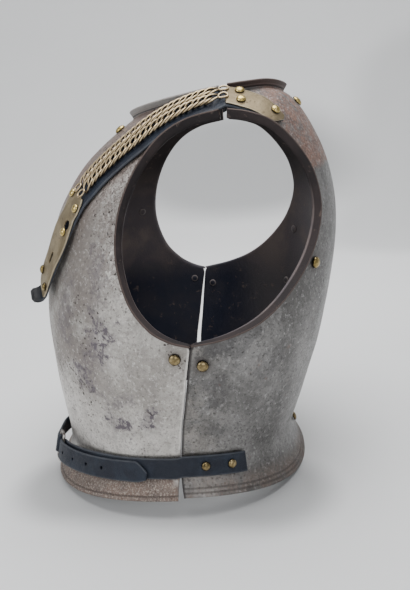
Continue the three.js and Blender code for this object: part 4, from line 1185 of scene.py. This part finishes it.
class Material(Nodes):
    """A material whose colour is built up in coats, placed by the object's own coordinates."""

    def __init__(self, name):
        self.made = bpy.data.materials.new(name)
        self.made.use_nodes = True
        super().__init__(self.made.node_tree)
        self.shader = self.tree.nodes["Principled BSDF"].inputs
        self.place = self.add("TexCoord").outputs["Object"]

    def axes(self):
        return self.add("SeparateXYZ", {0: self.place}).outputs[:3]

    def value(self, name):
        return self.add("Attribute", attribute_name=name).outputs["Fac"]

    def blotches(self, scale, low, high, ragged=0.55):
        return self.use(BLOTCH, vector=self.place, scale=scale, low=low, high=high, ragged=ragged)[0]

    def pits(self, scale, share, size):
        return self.use(PIT, vector=self.place, scale=scale, share=share, size=size)[0]

    def streak(self, start, end, radius, ragged):
        return self.use(STREAK, vector=self.place, start=start, end=end, radius=radius, ragged=ragged)[0]

    def streaks(self, table, ragged):
        """Largest of the marks in a table of start and end in millimetres, radius and strength."""
        marks = []
        for start, end, radius, strength in table:
            ends = [[value * MM for value in point] for point in (start, end)]
            marks.append(self.times(self.streak(*ends, radius * MM, ragged), strength))
        return self.most(*marks)

    def rust(self, redness):
        return self.use(RUST, vector=self.place, redness=redness)[0]

    def coat(self, colour, *masks):
        """Lays a colour over what is there, as far as the product of the masks says."""
        self.colour = self.mix(self.times(*masks), self.colour, colour)

    def wear(self, dark, bright):
        """Lays the fine wear of uncoated steel over what is there, and returns where it is dark."""
        self.colour, mask = self.use(WEAR, vector=self.place, color=self.colour, dark=(*dark, 1),
                                     bright=(*bright, 1), amount=0.6)
        return mask

    def grooves(self, name, foot, reach, soft, colour, strength):
        """Darkens a plate along its grooves: how far the darkening reaches to each side, and its fade."""
        for groove in PLATES[name]["grooves"]:
            self.coat(colour, self.between(foot, groove - reach, groove + reach, soft), strength)

    def flanges(self, arm, neck):
        """Colours the armhole's and the neck's flanges. The armhole flange's dark colour is partly rust
        and partly painted shade on its underside; a painted shadow runs as a dark line along the root's
        crease, a thin painted highlight beside it and another along the edge. Returns where the flanges
        are."""
        lip = self.value("lip")
        # Painted light: highlights along the edge and along the ridge, and a shadow along the root's
        # crease.
        edge = self.times(self.ramp(lip, 0.93, 1.0), 0.22)
        ridge_highlight = self.times(self.between(lip, 0.34, 0.56, 0.08), 0.35)
        root = self.times(self.between(lip, 0.10, 0.36, 0.08), 0.8)
        # The flange's own colour, then the painted highlights and the painted root shadow laid over it.
        flange_colour_and_painted_light = self.mix(self.value("neck"), arm, neck)
        flange_colour_and_painted_light = self.mix(self.most(edge, ridge_highlight), flange_colour_and_painted_light, (0.24, 0.19, 0.165))
        flange_colour_and_painted_light = self.mix(root, flange_colour_and_painted_light, (0.018, 0.012, 0.012))
        flange = self.ramp(lip, 0.04, 0.14)
        self.coat(flange_colour_and_painted_light, flange)
        return flange

    def finish(self, rough, metal, height, distance):
        """Links what varies and sets the constants on the shader's own sockets."""
        for key, value in (("Base Color", self.colour), ("Roughness", rough), ("Metallic", metal)):
            self.feed(self.shader[key], value)
        bump = self.add("Bump", {"Height": height, "Distance": distance, "Strength": 1.0})
        self.tree.links.new(bump.outputs[0], self.shader["Normal"])
        return self.made


# ---------------------------------------------------------------- materials
# Stains of the breastplate: start, end and radius in millimetres, strength.
BREAST_STAINS = [
    ((154, -80, 202), (153, -82, 186), 18, 1.0), ((146, -92, 180), (138, -100, 158), 16, 0.7),
    ((136, -100, 138), (128, -110, 150), 15, 0.9), ((152, -64, 97), (146, -80, 99), 12, 1.0),
    ((161, -44, 101), (163, -36, 116), 9, 1.0), ((144, -76, 250), (137, -82, 282), 13, 0.6),
    ((148, -84, 226), (150, -80, 244), 14, 0.6), ((148, -74, 120), (158, -56, 130), 10, 0.6),
    ((112, -124, 190), (118, -120, 240), 18, 0.5),
]
# Black scratches of the breastplate, in the same columns.
BREAST_SCRATCHES = [
    ((86, -143, 148), (92, -139, 139), 1.3, 1), ((113, -125, 151), (119, -120, 148), 1.3, 0.8),
    ((125, -113, 145), (131, -106, 137), 1.5, 1), ((122, -116, 140), (127, -111, 136), 1.1, 0.8),
    ((142, -79, 266), (147, -76, 258), 1.2, 0.7), ((163, -40, 118), (164, -35, 113), 1.2, 0.7),
]
# Smoky stains of the backplate, in the same columns.
BACK_STAINS = [
    ((178, 23, 184), (175, 42, 184), 14, 0.7), ((170, 30, 146), (168, 34, 128), 16, 0.45),
    ((169, 66, 198), (172, 56, 176), 12, 0.5), ((162, 12, 96), (160, 30, 88), 12, 0.5),
    ((150, 75, 150), (140, 95, 170), 14, 0.35),
]


def breast_steel():
    """Bright worn steel: grey clouds, purple-grey stains and black scratches, pitted roughly
    beside the armhole, tarnished brown on the chest and rough and rusty on the skirt."""
    m = Material("worn bright steel")
    x, y, z = m.axes()
    foot, seam = m.value("foot"), m.value("seam")
    m.colour = m.mix(m.blotches(10.0, 0.36, 0.66, 0.6), (0.33, 0.31, 0.285), (0.66, 0.635, 0.60))
    front = m.times(m.ramp(y, -0.070, -0.100), m.ramp(z, 0.10, 0.16))
    tawny = m.times(front, m.blotches(24.0, 0.34, 0.54, 0.7))
    m.coat((0.215, 0.185, 0.165), tawny, 0.8)
    dark = m.wear((0.20, 0.18, 0.175), (0.82, 0.80, 0.77))
    stain = m.streaks(BREAST_STAINS, 2.0)
    broken = m.most(m.times(m.blotches(120.0, 0.46, 0.54, 0.7), stain), m.times(stain, 0.3))
    m.coat((0.13, 0.112, 0.128), broken)
    chest = m.times(m.ramp(z, 0.28, 0.35), m.ramp(m.math("ABSOLUTE", x), 0.128, 0.108))
    m.coat((0.215, 0.145, 0.12), chest, m.blotches(14.0, 0.30, 0.50), 0.8)
    arm = m.times(m.ramp(z, 0.20, 0.27), m.ramp(y, -0.10, -0.065))
    rough_skin = m.times(arm, m.blotches(230.0, 0.44, 0.58, 0.75))
    m.coat((0.22, 0.18, 0.165), rough_skin, 0.6)
    crowd = m.math("ADD", m.most(m.blotches(15.0, 0.46, 0.60), m.times(arm, 0.8)), 0.3)
    specks = [m.times(m.pits(330.0, 0.42, 0.44), crowd), m.times(m.pits(130.0, 0.22, 0.25), crowd)]
    spots = m.most(*specks, m.streaks(BREAST_SCRATCHES, 0.5))
    m.coat((0.050, 0.038, 0.036), spots, 0.85)
    m.coat((0.21, 0.185, 0.165), m.ramp(m.value("stain"), 0.25, 0.75), 0.55)
    skirt = m.times(m.ramp(foot, 0.034, 0.024), m.blotches(34.0, 0.16, 0.38))
    m.coat(m.rust(0.0), skirt, 0.85)
    m.coat((0.075, 0.058, 0.048), skirt, 0.35)
    m.coat((0.46, 0.40, 0.34), skirt, m.blotches(560.0, 0.50, 0.64, 0.6), 0.7)
    m.grooves("front", foot, 1.6 * MM, 1.2 * MM, (0.05, 0.035, 0.03), 0.6)
    # Flanges: the dark armhole colour is partly rust and partly painted shade, with painted highlights and
    # a painted root shadow.
    lip = m.flanges((0.042, 0.025, 0.023), (0.36, 0.345, 0.335))
    # Painted highlight: a pale strip along the breastplate's edge at the seam, above the skirt.
    seam_edge_highlight = m.times(m.ramp(seam, 2.4 * MM, 1.4 * MM), m.ramp(foot, 0.024, 0.034))
    m.coat((0.86, 0.83, 0.79), seam_edge_highlight, m.blotches(90.0, 0.30, 0.52), 0.5)
    aged = m.most(broken, spots, skirt, lip, m.times(tawny, 0.6))
    height = m.math("SUBTRACT", m.noise(m.place, 700.0, 3.0), spots)
    height = m.math("SUBTRACT", height, m.times(m.most(rough_skin, skirt), 0.8))
    rough = m.grow(aged, 0.20, m.grow(dark, 0.12, 0.38))
    return m.finish(rough, m.grow(aged, -0.45, 0.92), height, 0.45 * MM)


def back_steel():
    """Darker steel, finely mottled and smoky, with red rust over the shoulder blades down to a
    ragged line."""
    m = Material("dark mottled steel")
    _, y, z = m.axes()
    foot, seam = m.value("foot"), m.value("seam")
    m.colour = m.mix(m.blotches(12.0, 0.36, 0.62, 0.65), (0.130, 0.126, 0.122), (0.240, 0.234, 0.228))
    m.coat((0.35, 0.325, 0.295), m.ramp(y, 0.055, 0.0), m.blotches(30.0, 0.40, 0.60, 0.7), 0.5)
    dark = m.wear((0.07, 0.067, 0.066), (0.46, 0.455, 0.45))
    m.coat((0.065, 0.063, 0.066), m.streaks(BACK_STAINS, 2.0), 0.8)
    wobble = m.math("SUBTRACT", m.noise(m.place, 22.0, 5.0, 0.6), 0.5)
    line = m.grow(y, -0.32, m.grow(wobble, 0.03, z))
    upper = m.times(m.ramp(line, 0.290, 0.298), m.ramp(y, 0.075, 0.105))
    rust = m.rust(0.8)
    patchy = m.times(upper, m.blotches(85.0, 0.34, 0.54, 0.75))
    m.coat(rust, patchy, 0.85)
    m.coat((0.44, 0.40, 0.39), upper, m.blotches(300.0, 0.52, 0.66, 0.7), 0.75)
    m.coat(rust, m.blotches(46.0, 0.62, 0.70, 0.7), 0.35)
    spots = m.most(m.pits(310.0, 0.25, 0.40), m.times(m.pits(120.0, 0.10, 0.22), 0.8))
    m.coat((0.045, 0.038, 0.036), spots, 0.6)
    m.coat((0.10, 0.09, 0.085), m.ramp(m.value("stain"), 0.2, 0.75), 0.75)
    skirt = m.times(m.ramp(foot, 0.026, 0.006), m.blotches(34.0, 0.30, 0.54))
    m.coat(rust, skirt, 0.35)
    m.coat((0.10, 0.095, 0.075), skirt, 0.25)
    m.grooves("back", foot, 1.4 * MM, 0.9 * MM, (0.05, 0.04, 0.038), 0.5)
    # Flanges: the dark armhole colour is partly rust and partly painted shade, with painted highlights and
    # a painted root shadow.
    lip = m.flanges((0.038, 0.023, 0.021), (0.075, 0.050, 0.046))
    # Painted shadow: a dark strip along the backplate's edge at the seam, where the breastplate's edge
    # overlaps it.
    seam_shadow = m.times(m.ramp(seam, 3.2 * MM, 0.6 * MM), 0.85)
    m.coat((0.030, 0.026, 0.026), seam_shadow)
    aged = m.most(patchy, spots, skirt, lip, seam_shadow)
    height = m.math("SUBTRACT", m.noise(m.place, 650.0, 3.0), spots)
    rough = m.grow(aged, 0.18, m.grow(dark, 0.12, 0.42))
    return m.finish(rough, m.grow(aged, -0.5, 0.92), height, 0.45 * MM)


def inner_steel():
    """The plates' inner faces and the rivets' ends: nearly black, browner higher up and black again
    at the top and on the flanges, with a pale band round each rivet's dome."""
    m = Material("dark inner steel")
    _, y, z = m.axes()
    cloud = m.blotches(16.0, 0.38, 0.64, 0.6)
    m.colour = m.mix(cloud, (0.015, 0.018, 0.034), (0.028, 0.027, 0.038))
    m.coat((0.085, 0.078, 0.082), m.ramp(y, 0.04, 0.11))
    m.coat(m.mix(cloud, (0.125, 0.108, 0.115), (0.20, 0.160, 0.150)), m.ramp(z, 0.17, 0.24))
    flange = m.most(m.ramp(z, 0.27, 0.35), m.ramp(m.value("lip"), 0.02, 0.25))
    m.coat(m.mix(cloud, (0.018, 0.014, 0.015), (0.038, 0.029, 0.029)), flange)
    m.coat((0.19, 0.135, 0.11), m.blotches(90.0, 0.58, 0.70, 0.7), 0.5)
    rise = m.value("rise")
    m.coat((0.26, 0.22, 0.21), m.ramp(rise, 0.02, 0.2), m.ramp(rise, 0.9, 0.6), 0.7)
    m.shader["Specular IOR Level"].default_value = 0.3
    rough = m.grow(cloud, 0.15, m.grow(flange, 0.2, 0.5))
    return m.finish(rough, 0.10, m.noise(m.place, 500.0, 4.0), 0.3 * MM)


def leather():
    """Blue-black leather: pebbled grain, creases across it, paler rubbed edges, and painted shade,
    near black, where the shoulder straps' free ends curl."""
    m = Material("blue-black leather")
    _, y, z = m.axes()
    m.colour = m.mix(m.blotches(45.0, 0.40, 0.66), (0.005, 0.008, 0.017), (0.013, 0.020, 0.034))
    m.coat((0.034, 0.042, 0.056), m.blotches(160.0, 0.58, 0.70, 0.75), 0.5)
    m.coat((0.085, 0.092, 0.105), m.ramp(m.value("edge"), 0.90, 1.0), m.noise(m.place, 120.0), 0.9)
    # Painted shade: near black on the curled free ends, whose inner face lies in shadow.
    m.coat((0.003, 0.003, 0.004), m.ramp(y, -0.150, -0.162), m.ramp(z, 0.16, 0.20), 0.85)
    grain = m.use(GRAIN, vector=m.place, scale=1000.0)[0]
    crease = m.times(m.noise(m.place, 70.0, 3.0, 0.6), 2.0)
    m.shader["Specular IOR Level"].default_value = 0.35
    rough = m.grow(m.noise(m.place, 200.0), 0.30, 0.38)
    return m.finish(rough, 0.0, m.math("ADD", grain, crease), 0.35 * MM)


def chain_brass():
    """Pale brass wire, dark where it lies deep between the links: painted shade there, together with dirt.
    """
    m = Material("chain brass")
    # Painted shade with dirt: the lower a point lies in the chain, the darker its colour.
    depth = m.math("SUBTRACT", m.noise(m.place, 160.0), 0.5)
    depth = m.grow(depth, 0.4, m.value("depth"))
    m.colour = m.mix(m.ramp(depth, 0.40, 0.95), (0.018, 0.012, 0.008), (0.53, 0.42, 0.265))
    m.coat((0.33, 0.25, 0.155), m.blotches(120.0, 0.48, 0.66), 0.5)
    return m.finish(m.ramp(depth, 0.2, 0.8, 0.55, 0.34), 0.95, m.noise(m.place, 700.0), 0.1 * MM)


def plate_brass():
    """Matt tan brass sheet with brown clouds and dark specks, darker on top of the shoulders."""
    m = Material("tan brass sheet")
    _, _, z = m.axes()
    m.colour = m.mix(m.blotches(60.0, 0.38, 0.66), (0.22, 0.175, 0.105), (0.33, 0.27, 0.175))
    m.coat((0.15, 0.115, 0.065), m.ramp(z, 0.37, 0.39), 0.6)
    spots = m.pits(380.0, 0.25, 0.42)
    m.coat((0.17, 0.13, 0.09), m.blotches(130.0, 0.56, 0.70, 0.7), 0.5)
    m.coat((0.10, 0.075, 0.05), spots, 0.6)
    m.coat((0.60, 0.53, 0.40), m.ramp(m.value("edge"), 0.93, 1.0), 0.45)
    height = m.math("SUBTRACT", m.noise(m.place, 350.0), spots)
    return m.finish(m.grow(m.noise(m.place, 150.0), 0.25, 0.42), 0.80, height, 0.3 * MM)


def stud_brass():
    """Rounded brass heads: painted shade, dark brown to black, towards the foot where they meet the plate,
    and brighter gold higher up.
    """
    m = Material("stud brass")
    _, _, z = m.axes()
    rise = m.value("rise")
    cloud = m.blotches(170.0, 0.40, 0.64)
    rubbed = m.ramp(z, 0.21, 0.30)
    dull = m.mix(cloud, (0.15, 0.112, 0.052), (0.34, 0.265, 0.14))
    bright = m.mix(rubbed, dull, m.mix(cloud, (0.46, 0.34, 0.115), (0.66, 0.51, 0.22)))
    # Painted shade: each head darkens towards its foot, over more of the dome on the lower studs.
    domed = m.mix(rubbed, m.ramp(rise, 0.16, 0.86), m.ramp(rise, 0.05, 0.5))
    m.colour = m.mix(domed, (0.035, 0.024, 0.012), bright)
    rough = m.grow(m.noise(m.place, 260.0), 0.22, 0.16)
    return m.finish(rough, 1.0, m.noise(m.place, 420.0, 3.0), 0.14 * MM)


def buckle_iron():
    """Dull iron wire, worn bright in places."""
    m = Material("buckle iron")
    m.colour = m.mix(m.blotches(130.0, 0.42, 0.60), (0.14, 0.12, 0.11), (0.50, 0.48, 0.45))
    rough = m.grow(m.noise(m.place, 220.0), 0.3, 0.28)
    return m.finish(rough, 0.9, m.noise(m.place, 600.0), 0.2 * MM)


# Painted shadows on the paper: start, end and radius in metres, strength.
FLOOR_PAINTED_SHADOWS = [
    ((-2.28, 0.04, 0.19), (-2.28, 0.12, 0.19), 0.60, 0.75),
    ((-1.45, 0.62, 0.0), (-2.60, 0.98, 0.5), 0.42, 0.3),
    ((0.09, -0.13, 0.0), (0.12, 0.07, 0.0), 0.10, 0.7),
]


def floor_paint():
    """Pale paper with painted shadows: a soft one on the backdrop seen through the armhole, a darker zone
    of backdrop to the right, and a contact shadow under the object.
    """
    m = Material("pale paper")
    m.colour = m.mix(m.noise(m.place, 3.0, 2.0), (0.775, 0.78, 0.785), (0.81, 0.815, 0.82))
    # Each painted shadow greys the paper.
    for start, end, radius, strength in FLOOR_PAINTED_SHADOWS:
        m.coat((0.36, 0.365, 0.37), m.streak(start, end, radius, 0.0), strength)
    return m.finish(0.75, 0.0, m.noise(m.place, 400.0), 0.05 * MM)


FLAT_REACH, RISE_REACH, FLOOR_TURNS = 1.5, 1.7, 96


def make_floor():
    """A bowl of paper: flat near the object, and rising far away as a quarter circle."""
    flat = np.concatenate([[0.001], np.linspace(0.3, FLAT_REACH, 7)])
    angle = np.linspace(0.1, 1.5, 14)
    radius = np.concatenate([flat, FLAT_REACH + RISE_REACH * np.sin(angle)])[:, None]
    level = np.concatenate([np.zeros(len(flat)), RISE_REACH * (1 - np.cos(angle))])[:, None]
    turn = circle(FLOOR_TURNS)
    points = np.stack([radius * np.cos(turn), radius * np.sin(turn), level * np.ones_like(turn)], -1)
    faces = list(grid_faces(len(radius), FLOOR_TURNS, wrap_columns=True))
    faces.append(np.arange(FLOOR_TURNS)[::-1])
    floor = add_to_scene("floor", new_mesh("floor", points, faces, [floor_paint()]))


# ---------------------------------------------------------------- assembly
set_camera()
set_lights()
make_floor()
dark = inner_steel()
make_plate("front", "breastplate", [breast_steel(), dark])
make_plate("back", "backplate", [back_steel(), dark])
strap_leather, sheet_brass, links, heads = leather(), plate_brass(), chain_brass(), stud_brass()
for side, suffix in ((1, "left"), (-1, "right")):
    make_strap_leather(side, suffix, strap_leather)
    make_end_plates(side, suffix, sheet_brass)
    make_chains(side, suffix, links)
    make_eyes(side, suffix, links)
make_studs(heads)
make_belts(strap_leather)
make_buckle(buckle_iron())
make_rivet_ends(dark)

bpy.context.view_layer.update()
